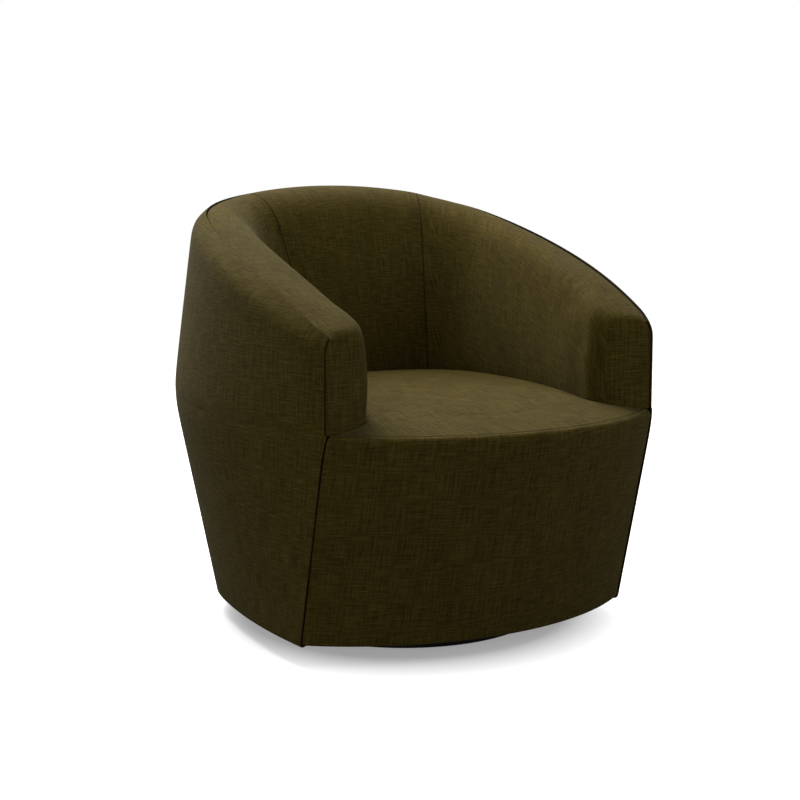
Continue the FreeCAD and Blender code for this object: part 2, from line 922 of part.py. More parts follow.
def make_lower_plate():
    """Lower swivel plate, screwed to the base disc."""
    plate = pressed_plate(disc_top)
    plate = drilled(plate, screw_radius + screw_hole_gap, square_corners(bolt_spacing), disc_top)
    return drilled(plate, rivet_radius, [(0, 0)], disc_top)


def make_upper_plate():
    """Upper swivel plate, bolted under the base board."""
    plate = pressed_plate(upper_plate_bottom)
    plate = drilled(plate, bolt_radius + bolt_hole_gap, square_corners(bolt_spacing), upper_plate_bottom)
    return drilled(plate, rivet_radius + rivet_running_gap, [(0, 0)], upper_plate_bottom)


def ball_places():
    """Centres of the balls round the race."""
    places = []
    for number in range(ball_count):
        angle = 2 * math.pi * number / ball_count
        places.append((race_radius * math.cos(angle), race_radius * math.sin(angle)))
    return places


def make_balls():
    """Bearing balls, each worked as a stack of flat-sided rings."""
    turns = [math.pi / 8 * step for step in (-3, -1, 1, 3)]
    balls = []
    for x, y in ball_places():
        rings = []
        for turn in turns:
            radius = ball_radius * math.cos(turn)
            corners = []
            for number in range(hardware_sides + 1):
                angle = 2 * math.pi * number / hardware_sides
                corner_x = x + radius * math.cos(angle)
                corner_y = y + radius * math.sin(angle)
                corners.append(Vector(corner_x, corner_y, ball_height + ball_radius * math.sin(turn)))
            rings.append(Part.makePolygon(corners))
        balls.append(Part.makeLoft(rings, True, True))
    return Part.Compound(balls)


def make_cage():
    """Flat ring that keeps the balls apart."""
    bottom = ball_height - cage_thickness / 2
    half = cage_width / 2
    cage = tube(race_radius + half, race_radius - half, bottom, cage_thickness)
    for x, y in ball_places():
        start = Vector(x, y, bottom - overrun)
        cage = cage.cut(sided_prism(hardware_sides, ball_radius + cage_hole_gap, start, 2 * overrun))
    return cage


def make_rivet():
    """Rivet that holds the two plates together and carries the turn."""
    lower = disc_top - rivet_flange_height
    upper = board_bottom + rivet_lift
    shank = Part.makeCylinder(rivet_radius, upper - disc_top, Vector(0, 0, disc_top))
    lower_flange = Part.makeCylinder(rivet_flange_radius, rivet_flange_height, Vector(0, 0, lower))
    upper_flange = Part.makeCylinder(rivet_flange_radius, rivet_flange_height, Vector(0, 0, upper))
    return shank.fuse([lower_flange, upper_flange]).removeSplitter()


def make_screws():
    """Screws that hold the lower plate to the base disc."""
    screws = []
    for x, y in square_corners(bolt_spacing):
        seat = Vector(x, y, lower_plate_top)
        tip = Vector(x, y, lower_plate_top - screw_length)
        head = sided_prism(hardware_sides, screw_head_radius, seat, screw_head_height)
        shank = sided_prism(hardware_sides, screw_radius, tip, screw_length)
        screws.append(head.fuse(shank).removeSplitter())
    return Part.Compound(screws)


def make_bolts():
    """Bolts that hold the upper plate to the base board."""
    bolts = []
    shank_length = board_top + bolt_nut_height - upper_plate_bottom
    for x, y in square_corners(bolt_spacing):
        seat = Vector(x, y, upper_plate_bottom)
        lowest = Vector(x, y, upper_plate_bottom - bolt_head_height)
        head = sided_prism(hardware_sides, bolt_head_radius, lowest, bolt_head_height)
        shank = sided_prism(hardware_sides, bolt_radius, seat, shank_length)
        bolts.append(head.fuse(shank).removeSplitter())
    return Part.Compound(bolts)


def make_nuts():
    """Six-sided nuts on the upper plate's bolts."""
    nuts = []
    for x, y in square_corners(bolt_spacing):
        seat = Vector(x, y, board_top)
        start = Vector(x, y, board_top - overrun)
        nut = sided_prism(6, bolt_nut_radius, seat, bolt_nut_height)
        hole = sided_prism(hardware_sides, bolt_radius, start, bolt_nut_height + 2 * overrun)
        nuts.append(nut.cut(hole))
    return Part.Compound(nuts)


# Base disc

def make_disc():
    """Round base disc with bevelled edges, a pocket for the rivet and pilot holes for the screws."""
    disc = Part.makeCylinder(disc_radius, disc_thickness, Vector(0, 0, felt_thickness))
    rims = [edge for edge in disc.Edges if edge.BoundBox.ZLength < disc_edge_bevel]
    disc = disc.makeChamfer(disc_edge_bevel, rims)
    pocket_depth = rivet_flange_height + rivet_lift
    pocket_radius = rivet_flange_radius + pocket_gap
    pocket = Part.makeCylinder(pocket_radius, pocket_depth + overrun, Vector(0, 0, disc_top - pocket_depth))
    disc = disc.cut(pocket)
    hole_depth = screw_length - plate_thickness + screw_hole_gap
    for x, y in square_corners(bolt_spacing):
        start = Vector(x, y, disc_top - hole_depth)
        hole = sided_prism(hardware_sides, screw_radius + screw_hole_gap, start, hole_depth + overrun)
        disc = disc.cut(hole)
    return disc


def make_felt():
    """Felt sheet under the base disc."""
    return Part.makeCylinder(felt_radius, felt_thickness)


def build():
    """Every piece of the chair, by name."""
    outside_arm = make_outside_arm()
    inside_arm = make_inside_arm()
    arm_front = make_arm_front_pad()
    lower_panel = make_lower_panel()
    side_rail = make_side_rail()
    arm_rail = make_arm_rail()
    back_rail = make_back_top_rail()
    arm_ribs = Part.Compound([make_rib(share, arm_rail) for share in arm_rib_shares])
    return {
        "floor_felt": make_felt(),
        "base_disc": make_disc(),
        "swivel_lower_plate": make_lower_plate(),
        "lower_plate_screws": make_screws(),
        "pivot_rivet": make_rivet(),
        "ball_cage": make_cage(),
        "bearing_balls": make_balls(),
        "swivel_upper_plate": make_upper_plate(),
        "upper_plate_bolts": make_bolts(),
        "upper_plate_nuts": make_nuts(),
        "base_board": make_base_board(),
        "lower_ribs": make_lower_ribs(),
        "front_seat_rail": make_front_rail(),
        "seat_rail_left": side_rail,
        "seat_rail_right": mirrored(side_rail),
        "rear_seat_rail": make_rear_rail(),
        "spring_rail": make_spring_rail(),
        "corner_blocks": make_corner_blocks(),
        "arm_ribs_left": arm_ribs,
        "arm_ribs_right": mirrored(arm_ribs),
        "back_ribs": Part.Compound([make_rib(share, back_rail) for share in back_rib_shares]),
        "arm_rail_left": arm_rail,
        "arm_rail_right": mirrored(arm_rail),
        "back_top_rail": back_rail,
        "straps_lengthwise": make_lengthwise_straps(),
        "straps_crosswise": make_crosswise_straps(),
        "deck_cloth": make_deck_cloth(),
        "seat_pad": make_seat_pad(),
        "inside_back": make_inside_back(),
        "inside_arm_left": inside_arm,
        "inside_arm_right": mirrored(inside_arm),
        "arm_front_left": arm_front,
        "arm_front_right": mirrored(arm_front),
        "outside_back": make_outside_back(),
        "outside_arm_left": outside_arm,
        "outside_arm_right": mirrored(outside_arm),
        "lower_front_panel": make_lower_front_panel(),
        "lower_panel_left": lower_panel,
        "lower_panel_right": mirrored(lower_panel),
        "lower_back_panel": make_lower_back_panel(),
        "dust_cover": make_dust_cover(),
    }


os.makedirs("parts", exist_ok=True)
for name, shape in build().items():
    shape.exportStep(os.path.join("parts", name + ".step"))
    print(name, "solids", len(shape.Solids), "valid", shape.isValid(), "volume", round(shape.Volume))
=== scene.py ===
# %% [markdown]
# # A swivel chair in olive linen
#
# This lesson dresses a barrel chair that was drawn as solids in a CAD program. The solids keep the
# size and the joints. Every cover that shows is made again as sewn, padded cloth, and each hidden
# part gets a finish of its own.

# %% Load the chair and the tools
import json
import math

import bpy
import numpy as np
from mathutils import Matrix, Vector


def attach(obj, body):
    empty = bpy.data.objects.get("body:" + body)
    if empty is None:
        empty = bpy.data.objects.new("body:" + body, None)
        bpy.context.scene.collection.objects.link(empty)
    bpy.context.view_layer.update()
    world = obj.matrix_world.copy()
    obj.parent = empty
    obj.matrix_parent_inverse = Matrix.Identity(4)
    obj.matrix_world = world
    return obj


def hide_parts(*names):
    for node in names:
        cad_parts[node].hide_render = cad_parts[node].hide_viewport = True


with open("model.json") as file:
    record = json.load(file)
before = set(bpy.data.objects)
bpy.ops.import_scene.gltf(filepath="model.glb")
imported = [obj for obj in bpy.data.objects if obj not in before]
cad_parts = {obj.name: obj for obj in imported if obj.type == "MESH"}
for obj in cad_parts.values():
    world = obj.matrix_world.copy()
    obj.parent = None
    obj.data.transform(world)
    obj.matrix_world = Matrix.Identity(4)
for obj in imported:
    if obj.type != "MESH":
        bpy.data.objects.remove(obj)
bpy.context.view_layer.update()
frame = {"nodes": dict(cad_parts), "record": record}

nodes = frame["nodes"]
mm = 0.001

# %% [markdown]
# ## The plan of the chair
#
# Seen from above, each side of the chair is a chain of arcs that run smoothly into each other: a
# bowed front, a long side, a tight corner and a flat back. A spline could trace it, but arcs keep the
# exact radii of the wooden frame. The cover at seat height, the lower edge and the seat are three
# such chains, so one function makes them all.

# %% Arcs of a plan
def make_plan(*sizes):
    """Left half of a plan as arcs (centre x, centre y, radius, first angle, last angle).

    The sizes in mm are the front corner, the front's bow, the widest point, the back, and the radii
    of the corner and the back. The front arc's radius follows from its chord and its bow. The corner
    arc touches the side and back arcs, so its centre lies where circles of their reduced radii cross.
    """
    corner_x, corner_y, front_bow, widest_x, widest_y, back_y, corner_radius, back_radius = (
        size * mm for size in sizes
    )
    front_radius = (corner_x ** 2 + front_bow ** 2) / (2 * front_bow)
    front_y = corner_y - front_bow + front_radius
    draw_in = widest_x - corner_x
    side_radius = ((widest_y - corner_y) ** 2 + draw_in ** 2) / (2 * draw_in)
    side_x = widest_x - side_radius
    back_centre = back_y - back_radius
    to_side = side_radius - corner_radius
    to_back = back_radius - corner_radius
    step = np.array([-side_x, back_centre - widest_y])
    span = np.hypot(*step)
    along = (to_side ** 2 - to_back ** 2 + span ** 2) / (2 * span)
    off = math.sqrt(to_side ** 2 - along ** 2)
    centre_x = side_x + (step[0] * along - step[1] * off) / span
    centre_y = widest_y + (step[1] * along + step[0] * off) / span
    turn_front = math.atan2(corner_y - front_y, corner_x)
    turn_corner = math.atan2(corner_y - widest_y, corner_x - side_x)
    turn_side = math.atan2(centre_y - widest_y, centre_x - side_x)
    turn_back = math.atan2(centre_y - back_centre, centre_x)
    return {
        "front": (0, front_y, front_radius, -math.pi / 2, turn_front),
        "side": (side_x, widest_y, side_radius, turn_corner, turn_side),
        "corner": (centre_x, centre_y, corner_radius, turn_side, turn_back),
        "back": (0, back_centre, back_radius, turn_back, math.pi / 2),
    }


def arc_points(arc, shares):
    """Points of an arc: centre plus radius times the cosine and sine of the angle at each share."""
    centre_x, centre_y, radius, first, last = arc
    angle = first + (last - first) * np.asarray(shares)
    return np.stack([centre_x + radius * np.cos(angle), centre_y + radius * np.sin(angle)], -1)


seam_height = 420 * mm
foot_height = 42 * mm
fall = seam_height - foot_height
seam_plan = make_plan(330, -345, 128, 405, 10, 414, 190, 1150)
foot_plan = make_plan(331, -246, 111, 346, -54, 333, 250, 900)
seat_plan = make_plan(222, -324, 128, 228, -215, 143, 95, 450)
rim_names = ("side", "corner", "back")


def arc_length(arc):
    """Length of an arc: its radius times the angle that it turns through."""
    return arc[2] * (arc[4] - arc[3])


rim_lengths = np.array([arc_length(seam_plan[name]) for name in rim_names])
rim_length = rim_lengths.sum()
back_seam = rim_lengths[:2].sum() / rim_length
print("rim arcs in mm:", np.round(rim_lengths / mm, 1), "back seam at share", round(back_seam, 3))

# %% [markdown]
# ## The rim
#
# The rim climbs from the arm front to the middle of the back. At each place on it an upright plane
# points from the outside of the chair to the seat, and the padding's section is drawn in that plane.
# A share of 0 is the left arm front, 1 the middle of the back and 2 the right arm front.

# %% Stations round the rim
def rim_points(plan, share):
    """Points of a plan at shares of the rim. Each arc takes the shares of its own stretch."""
    share = np.asarray(share, float)
    distance = np.minimum(share, 2 - share) * rim_length
    ends = np.cumsum(rim_lengths)
    points = arc_points(plan["back"], np.clip((distance - ends[1]) / rim_lengths[2], 0, 1))
    for number in (1, 0):
        own = np.clip((distance - ends[number] + rim_lengths[number]) / rim_lengths[number], 0, 1)
        inside = (distance <= ends[number])[..., None]
        points = np.where(inside, arc_points(plan[rim_names[number]], own), points)
    points[..., 0] *= np.where(share <= 1, 1, -1)
    return points


def station(share):
    """Start, inward direction and length of each station: from the seam plan to the seat plan."""
    start = rim_points(seam_plan, share)
    step = rim_points(seat_plan, share) - start
    thickness = np.linalg.norm(step, axis=-1)
    return start, step / thickness[..., None], thickness


def with_height(flat, height):
    """Points in space from plan points and their heights, which are spread over the grid."""
    return np.concatenate([flat, np.broadcast_to(height, flat.shape[:-1])[..., None]], -1)


def in_station(share, reach, height):
    """Points at a reach inwards and a height, in the upright plane of each station."""
    start, direction, _ = station(share)
    reach, height = np.broadcast_arrays(reach, height)
    flat = start.reshape(start.shape[:-1] + (1,) * (reach.ndim - start.ndim + 1) + (2,))
    way = direction.reshape(flat.shape)
    return with_height(flat + way * reach[..., None], height)


arm_round = 70 * mm
front_edge_round = 17 * mm
front_set_back = 5 * mm
front_draw_in = 5 * mm
front_draw_length = 45 * mm
rim_places = np.sin(np.pi / 2 * np.array([0, 0.33, 0.66, 1]))


def rim_curve(values, share):
    """Curve round the rim through four values in mm: a cubic in the sine of a quarter turn.

    The sine is level at the middle of the back, so the curve has no kink there.
    """
    turn = np.sin(np.pi / 2 * np.minimum(share, 2 - share))
    made = 0
    for number, value in enumerate(values):
        others = np.delete(rim_places, number)
        weights = [(turn - other) / (rim_places[number] - other) for other in others]
        made = made + value * mm * np.prod(weights, axis=0)
    return made


def quarter_round(distance, width):
    """Quarter circle from 1 at distance 0 to 0 at the width, where it is level.

    It is 1 minus the root of 1 minus the square of the share of the width that is left.
    """
    left = 1 - np.clip(distance / width, 0, 1)
    return 1 - np.sqrt(1 - left ** 2)


def front_draw(distance):
    """Draw-in of the outside near the arm front: the square of what is left of a short length."""
    return front_draw_in * np.clip(1 - distance / front_draw_length, 0, 1) ** 2


def rim_sizes(share):
    """Bottom, corner, edge, crown, shoulder and face of a section at each share of the rim.

    Near the arm front the section is cut back by a circle, which rounds the inner corner of the arm.
    """
    half = np.minimum(share, 2 - share)
    _, _, thickness = station(share)
    edge_height = rim_curve((577, 690, 776, 819), share)
    edge_reach = rim_curve((9, 65.5, 78, 75), share)
    from_front = half * rim_length - front_set_back
    cut_back = arm_round * quarter_round(from_front, arm_round)
    kept = 1 - cut_back / thickness
    drop = front_edge_round * quarter_round(from_front, front_edge_round)
    drawn = front_draw(from_front)
    crown_reach = edge_reach + rim_curve((48, 41.5, 33, 25.5), share) * kept
    crown_height = edge_height + rim_curve((10, 5.5, 11, 8), share) * kept - drop
    shoulder_reach = edge_reach + rim_curve((94.5, 98, 93, 84.5), share) - cut_back
    shoulder_height = edge_height - rim_curve((3, 6.5, 19, 27), share) * kept - drop
    return {
        "bottom": (drawn, np.full_like(drawn, seam_height)),
        "corner": (
            rim_curve((0.5, 28, 54.5, 65.5), share) + drawn,
            rim_curve((561.5, 679.5, 765.5, 799), share),
        ),
        "edge": (edge_reach + drawn, edge_height),
        "crown": (crown_reach, crown_height),
        "shoulder": (shoulder_reach, shoulder_height),
        "face": thickness - cut_back,
    }


sample = rim_sizes(np.array([0.0, 0.3, back_seam, 1.0]))
print("edge heights in mm at four places:", np.round(sample["edge"][1] / mm))

# %% [markdown]
# ## Sections
#
# A section is a chain of shallow curves, softened as wadding softens the edges of the frame: each
# point becomes the mean of its neighbours, with weights that fall off as a bell curve. Past its ends
# the chain is turned about its end point, so the ends, where the seams are, stay where they were.

# %% Section tools
def through_three(first, middle, last, shares):
    """Curve through three points: each weighs in with the parabola that is 1 at its own share."""
    t = np.asarray(shares)
    weights = ((1 - t) * (1 - 2 * t), 4 * t * (1 - t), t * (2 * t - 1))
    weighed = list(zip((first, middle, last), weights))
    return [sum(np.expand_dims(point[axis], -1) * weight for point, weight in weighed) for axis in (0, 1)]


def softened(chain, length, places, width):
    """Chain of (reach, height) curves, softened with a bell of the given width, at new places.

    The chain is evenly sampled over its length. Places and width are distances along it.
    """
    reach, height = chain
    count = reach.shape[-1]
    own = np.linspace(0, length, count)
    along = np.concatenate([-own[:0:-1], own, 2 * length - own[-2::-1]])
    weights = np.exp(-0.5 * ((np.asarray(places)[:, None] - along) / width) ** 2)
    weights /= weights.sum(1, keepdims=True)
    made = []
    for values in (reach, height):
        before = 2 * values[..., :1] - values[..., :0:-1]
        after = 2 * values[..., -1:] - values[..., -2::-1]
        made.append(np.concatenate([before, values, after], -1) @ weights.T)
    return made


def spaced(length, step, fine=(0, 0.25, 0.7, 1.4, 2.4, 3.8, 6.5), both=True):
    """Distances from 0 to length: close together by a seam, and about a step apart elsewhere."""
    fine = np.array(fine) * mm
    last = length - fine[::-1] if both else np.array([length])
    count = max(int(round((last[0] - fine[-1]) / step)), 1)
    return np.concatenate([fine[:-1], np.linspace(fine[-1], last[0], count + 1), last[1:]])


print("rows over 100 mm:", len(spaced(0.1, 0.006)))

# %% [markdown]
# ## From a grid to a sewn piece
#
# Each cover is a grid of points with a second grid behind it, joined round their edges into a closed
# shell. Where two covers are sewn together both turn in, and that makes the thin groove of a real
# seam; painted shade darkens the groove as well. The thread draws the cloth at each stitch, so faint
# puckers lie beside a seam.

# %% Mesh tools
def grid_normals(points):
    """Unit normals of a grid: the cross product of its two directions."""
    rows = np.gradient(points, axis=0)
    columns = np.gradient(points, axis=1)
    normals = np.cross(rows, columns)
    return normals / np.maximum(np.linalg.norm(normals, axis=-1, keepdims=True), 1e-12)


def distance_to_lines(points, lines):
    """Shortest distance from each point to a set of polylines, and the place along the nearest one."""
    flat = points.reshape(-1, 3)
    best = np.full(len(flat), 9.0)
    place = np.zeros(len(flat))
    for line in lines:
        start, step = line[:-1], np.diff(line, axis=0)
        size = np.maximum((step ** 2).sum(-1), 1e-18)
        along = np.concatenate([[0], np.cumsum(np.sqrt(size))[:-1]])
        for part in np.array_split(np.arange(len(flat)), max(len(flat) * len(start) // 2_000_000, 1)):
            offset = flat[part, None] - start
            share = np.clip((offset * step).sum(-1) / size, 0, 1)
            gap = np.linalg.norm(offset - share[..., None] * step, axis=-1)
            nearest = gap.argmin(1)
            pick = np.arange(len(part)), nearest
            closer = gap[pick] < best[part]
            best[part] = np.where(closer, gap[pick], best[part])
            here = along[nearest] + share[pick] * np.sqrt(size[nearest])
            place[part] = np.where(closer, here, place[part])
    return best.reshape(points.shape[:-1]), place.reshape(points.shape[:-1])


seam_width = 2.6 * mm
seam_depth = 2.2 * mm
pucker_pitch = 11 * mm
pucker_depth = 0.35 * mm
pucker_start = 2 * mm
pucker_fade = 9 * mm


def sewn_edge(distance, width=seam_width, depth=seam_depth):
    """Depth of the turned-in edge: a quarter ellipse that ends square to the cover."""
    return depth * quarter_round(distance, width)


def puckers(distance, place):
    """Faint puckers beside a seam: uneven waves along it, none in it, that fade out with distance."""
    wave = np.sin(2 * np.pi * place / pucker_pitch + 1.7 * np.sin(place / (3.1 * pucker_pitch)))
    slow = 0.6 + 0.4 * np.sin(place / (7.3 * pucker_pitch) + 1.1)
    fading = np.exp(-distance / pucker_fade) * (1 - np.exp(-distance / pucker_start))
    return pucker_depth * wave * slow * fading


def grid_faces(rows, columns):
    """Faces of a grid: the four corners of each cell, in order."""
    index = np.arange(rows * columns).reshape(rows, columns)
    return np.stack([index[:-1, :-1], index[1:, :-1], index[1:, 1:], index[:-1, 1:]], -1).reshape(-1, 4)


def shell_faces(rows, columns):
    """Faces of a closed shell of two grids: front, back turned over, and a wall round the edge."""
    index = np.arange(rows * columns).reshape(rows, columns)
    quads = grid_faces(rows, columns)
    edge = np.concatenate([index[0], index[1:, -1], index[-1, -2::-1], index[-2:0:-1, 0]])
    following = np.roll(edge, -1)
    behind = rows * columns
    wall = np.stack([edge, following, following + behind, edge + behind], -1)
    return np.concatenate([quads, quads[:, ::-1] + behind, wall])


def neighbour_mean(grid, times=8):
    """Smooths a grid of moves: each inner point takes the mean of itself and its four neighbours."""
    for _ in range(times):
        inner = grid[1:-1, 1:-1]
        around = grid[:-2, 1:-1] + grid[2:, 1:-1] + grid[1:-1, :-2] + grid[1:-1, 2:]
        grid = grid.copy()
        grid[1:-1, 1:-1] = (inner + around) / 5
    return grid


def make_piece(name, points, faces, uv, other_uv=None, chosen=None):
    """Mesh object from points, faces and one UV pair per point, shaded smooth.

    The chosen faces take the other UV pairs instead.
    """
    mesh = bpy.data.meshes.new(name)
    mesh.from_pydata(points.reshape(-1, 3).tolist(), [], [list(face) for face in faces])
    loops = np.zeros(len(mesh.loops), int)
    mesh.loops.foreach_get("vertex_index", loops)
    layer = mesh.uv_layers.new(name="weave")
    pairs = uv.reshape(-1, 2)[loops]
    if chosen is not None:
        pairs = np.where(np.repeat(chosen, 4)[:, None], other_uv.reshape(-1, 2)[loops], pairs)
    layer.data.foreach_set("uv", pairs.astype(np.float32).ravel())
    mesh.polygons.foreach_set("use_smooth", np.ones(len(mesh.polygons), bool))
    mesh.update()
    made = bpy.data.objects.new(name, mesh)
    bpy.context.scene.collection.objects.link(made)
    return made


def point_array(piece):
    """Coordinates of a piece's vertices."""
    values = np.zeros(len(piece.data.vertices) * 3, np.float32)
    piece.data.vertices.foreach_get("co", values)
    return values.reshape(-1, 3).astype(float)


def set_painted_seam_shade(piece, distance, to_rim=None):
    """Attribute of painted shade in the seams: highest in a seam, it falls off as a bell.

    Along the rim, where the seam is looked at from low down, the painted shade is wider and stronger.
    """
    painted_seam_shade = 0.7 * np.exp(-(distance / (1.6 * mm)) ** 2)
    if to_rim is not None:
        painted_seam_shade = np.maximum(painted_seam_shade, np.exp(-(to_rim / (4.6 * mm)) ** 2))
    values = np.zeros(len(piece.data.vertices), np.float32)
    values[:painted_seam_shade.size] = painted_seam_shade.ravel()
    piece.data.attributes.new("painted_seam_shade", "FLOAT", "POINT").data.foreach_set("value", values)


def set_points(piece, points):
    """Writes coordinates back to a piece."""
    piece.data.vertices.foreach_set("co", points.astype(np.float32).ravel())
    piece.data.update()


# %% [markdown]
# ## Padding
#
# Foam pushes the cover out wherever no seam holds it. Blender's Cloth does that with pressure inside
# the closed shell: its seams and back are pinned, gravity is off, and the swelling is capped. The
# seams are turned in afterwards, because they are finer than the cloth.

# %% Swell a padded piece
all_round = ("first_row", "last_row", "first_column", "last_column")
sheet = 4 * mm
puff_fade = 25 * mm
held_width = 5 * mm
flat_view = 0.7
cloth_frames = 20
foam = {
    "vertex_group_mass": "held",
    "use_pressure": True,
    "uniform_pressure_force": 4.0,
    "quality": 4,
    "mass": 0.3,
    "tension_stiffness": 12,
    "compression_stiffness": 12,
    "bending_stiffness": 2,
}


def swollen(piece, held, most):
    """How far each point moves when pressure swells the shell, capped at a greatest move."""
    rest = point_array(piece)
    group = piece.vertex_groups.new(name="held")
    group.add(np.flatnonzero(held).tolist(), 1.0, "REPLACE")
    cloth = piece.modifiers.new("padding", "CLOTH")
    cloth.settings.effector_weights.gravity = 0
    for key, value in foam.items():
        setattr(cloth.settings, key, value)
    scene = bpy.context.scene
    for number in range(1, cloth_frames + 1):
        scene.frame_set(number)
    move = point_array(piece.evaluated_get(bpy.context.evaluated_depsgraph_get())) - rest
    scene.frame_set(1)
    piece.modifiers.remove(cloth)
    piece.vertex_groups.remove(group)
    size = np.linalg.norm(move, axis=1, keepdims=True)
    capped = move * (most * np.tanh(size / most) / np.maximum(size, 1e-9))
    print(piece.name, "swells by at most", round(float(np.linalg.norm(capped, axis=1).max()) / mm, 1), "mm")
    return capped


def cover(
    name, points, uv, seams, thickness, puff=1.0 * mm,
    swell=0.0, soft=None, planar=None, rim=None, sewn=seam_depth, turned=False,
):
    """Closed piece behind a grid: swollen, then its seams turned in and puckered.

    Seams names the edges of the grid that are sewn, and sewn is how deep they are turned in. Soft is
    the share of the swelling that each row keeps, since tightly drawn cloth can't swell. Faces that
    look along planar take the flat UV pairs of that view. Rim names the edge that lies along the rim,
    where the painted seam shade is wider and stronger. Turned flips the finished side, which has the
    puff, the turned-in seams and the painted seam shade.
    """
    normals = grid_normals(points) * (-1 if turned else 1)
    rows, columns = points.shape[:2]
    edges = dict(zip(all_round, (points[0], points[-1], points[:, 0], points[:, -1])))
    distance, place = distance_to_lines(points, [edges[name] for name in seams])
    every, _ = distance_to_lines(points, list(edges.values()))
    lifted = points + normals * (puff * (1 - np.exp(-every / puff_fade)))[..., None]
    back = points - normals * thickness
    faces = shell_faces(rows, columns)
    if turned:
        faces = faces[:, ::-1]
    shell = np.concatenate([lifted, back])
    flat_uv, chosen = None, None
    if planar is not None:
        across = np.array([-planar[1], planar[0], 0])
        flat_uv = np.stack([shell @ across, shell[..., 2]], -1)
        facing = normals @ planar > flat_view
        chosen = facing.ravel()[np.array(faces)[:, 0] % facing.size]
    piece = make_piece(name, shell, faces, np.concatenate([uv, uv]), flat_uv, chosen)
    move = np.zeros((2, rows, columns, 3))
    if swell:
        held = np.concatenate([(every < held_width).ravel(), np.ones(rows * columns, bool)])
        move = swollen(piece, held, swell).reshape(2, rows, columns, 3)
    if soft is not None:
        move = move * soft[:, None, None]
    move[0] = neighbour_mean(move[0])
    # Painted shade in the seams, wider and stronger along the rim.
    set_painted_seam_shade(piece, distance, distance_to_lines(points, [edges[rim]])[0] if rim else None)
    final = lifted + move[0] - normals * sewn_edge(distance, depth=sewn)[..., None]
    final = final + normals * puckers(distance, place)[..., None]
    set_points(piece, np.concatenate([final, back]).reshape(-1, 3))
    smooth = piece.modifiers.new("soften", "SUBSURF")
    smooth.levels = 1
    smooth.render_levels = 1
    return piece


# %% [markdown]
# ## Outside covers
#
# The outside has three panels over thin wadding: one for each arm and one for the back. They stand
# on the seam round the seat, lean in as they rise, round over the top corner of the frame and end at
# the rim's edge. A panel is a function of the distance round the rim and the place along its section.
#
# A known flaw: the finished side of these three, and of the lower side and back panels, faces the
# frame. What shows is the plain side of their shells, so the seams between them can't be seen.

# %% Outside arms and back
seam_draw_in = 5.5 * mm
seam_draw_reach = 20 * mm
seam_draw_start = 80 * mm
outside_softness_share = 0.045
usual_section = 0.3


def rim_shares(first, last, step=9 * mm):
    """Shares of the rim from first to last, close together at both ends."""
    span = (last - first) * rim_length
    return first + spaced(span, step) / rim_length


def smooth_step(distance, width):
    """Rise from 0 to 1 over a width: 3t^2 - 2t^3, level at both ends."""
    t = np.clip(distance / width, 0, 1)
    return t ** 2 * (3 - 2 * t)


def seam_draw(shares, away):
    """How far the covers are drawn in at the seam round the seat.

    It fades out away from the seam and towards the arm front.
    """
    behind = smooth_step(np.minimum(shares, 2 - shares) * rim_length, seam_draw_start)
    return seam_draw_in * behind[:, None] * np.exp(-away / seam_draw_reach)


def outside_section(shares, places):
    """Softened outside section from the seam over the frame's corner to the rim's edge.

    Places are shares of the section's length. The lengths are returned too.
    """
    sizes = rim_sizes(shares)
    knots = np.stack([np.stack(sizes[name], -1) for name in ("bottom", "corner", "edge")])
    legs = np.linalg.norm(np.diff(knots, axis=0), axis=-1)[..., None]
    total = legs.sum(0)
    distance = np.linspace(0, 1, 241) * total
    chain = knots[0, :, None]
    for number, leg in enumerate(legs):
        share = np.clip(distance / leg, 0, 1)[..., None]
        chain = chain + share * (knots[number + 1] - knots[number])[:, None]
        distance = distance - leg
    return softened((chain[..., 0], chain[..., 1]), 1.0, places, outside_softness_share), total[:, 0]


def uv_pairs(along, down):
    """UV pairs of a grid from one value along it per row and one down it per column or point."""
    return np.stack(np.broadcast_arrays(along[:, None], down), -1)


def outside_panel(first, last):
    """Grid of an outside cover: the outside section at each station from the first to the last."""
    shares = rim_shares(first, last)
    places = spaced(usual_section, 8 * mm) / usual_section
    (reach, height), lengths = outside_section(shares, places)
    points = in_station(shares, reach + seam_draw(shares, height - seam_height), height)
    return points, uv_pairs(shares * rim_length, lengths[:, None] * places)


def mirrored(points):
    """The same grid on the other side of the chair."""
    return points * np.array([-1, 1, 1])


# Each cover's UV map is moved by a number of its own, so no two covers show the same slubs.
points, uv = outside_panel(front_set_back / rim_length, back_seam)
thin = {"puff": 1.5 * mm, "rim": "last_column", "sewn": 3.2 * mm}
outside_arm_left = cover("linen_outside_arm_left", points, uv, all_round, sheet, turned=True, **thin)
outside_arm_right = cover("linen_outside_arm_right", mirrored(points), uv + 3.1, all_round, sheet, **thin)
points, uv = outside_panel(back_seam, 2 - back_seam)
outside_back = cover("linen_outside_back", points, uv + 1.7, all_round, sheet, turned=True, **thin)
outside = (outside_arm_left, outside_arm_right, outside_back)
print("outside covers:", [len(piece.data.vertices) for piece in outside])

# %% [markdown]
# ## Arm covers
#
# One piece of linen runs over the rim of the arm, down its inside and round to its front, so the only
# seam of the front is the outer one. The grid follows the rim, and in front of its first station it
# goes on across the flat arm front to that seam. The rounded inner corner and the soft top edge come
# from the section, which is cut back by circles near the front.

# %% Arm cover
seat_meets_back = 447 * mm
cover_end = 412 * mm
section_length = 330 * mm
section_softness = 15 * mm
arm_front_width = 36 * mm
drawn_tight = 90 * mm
full_swell = 80 * mm


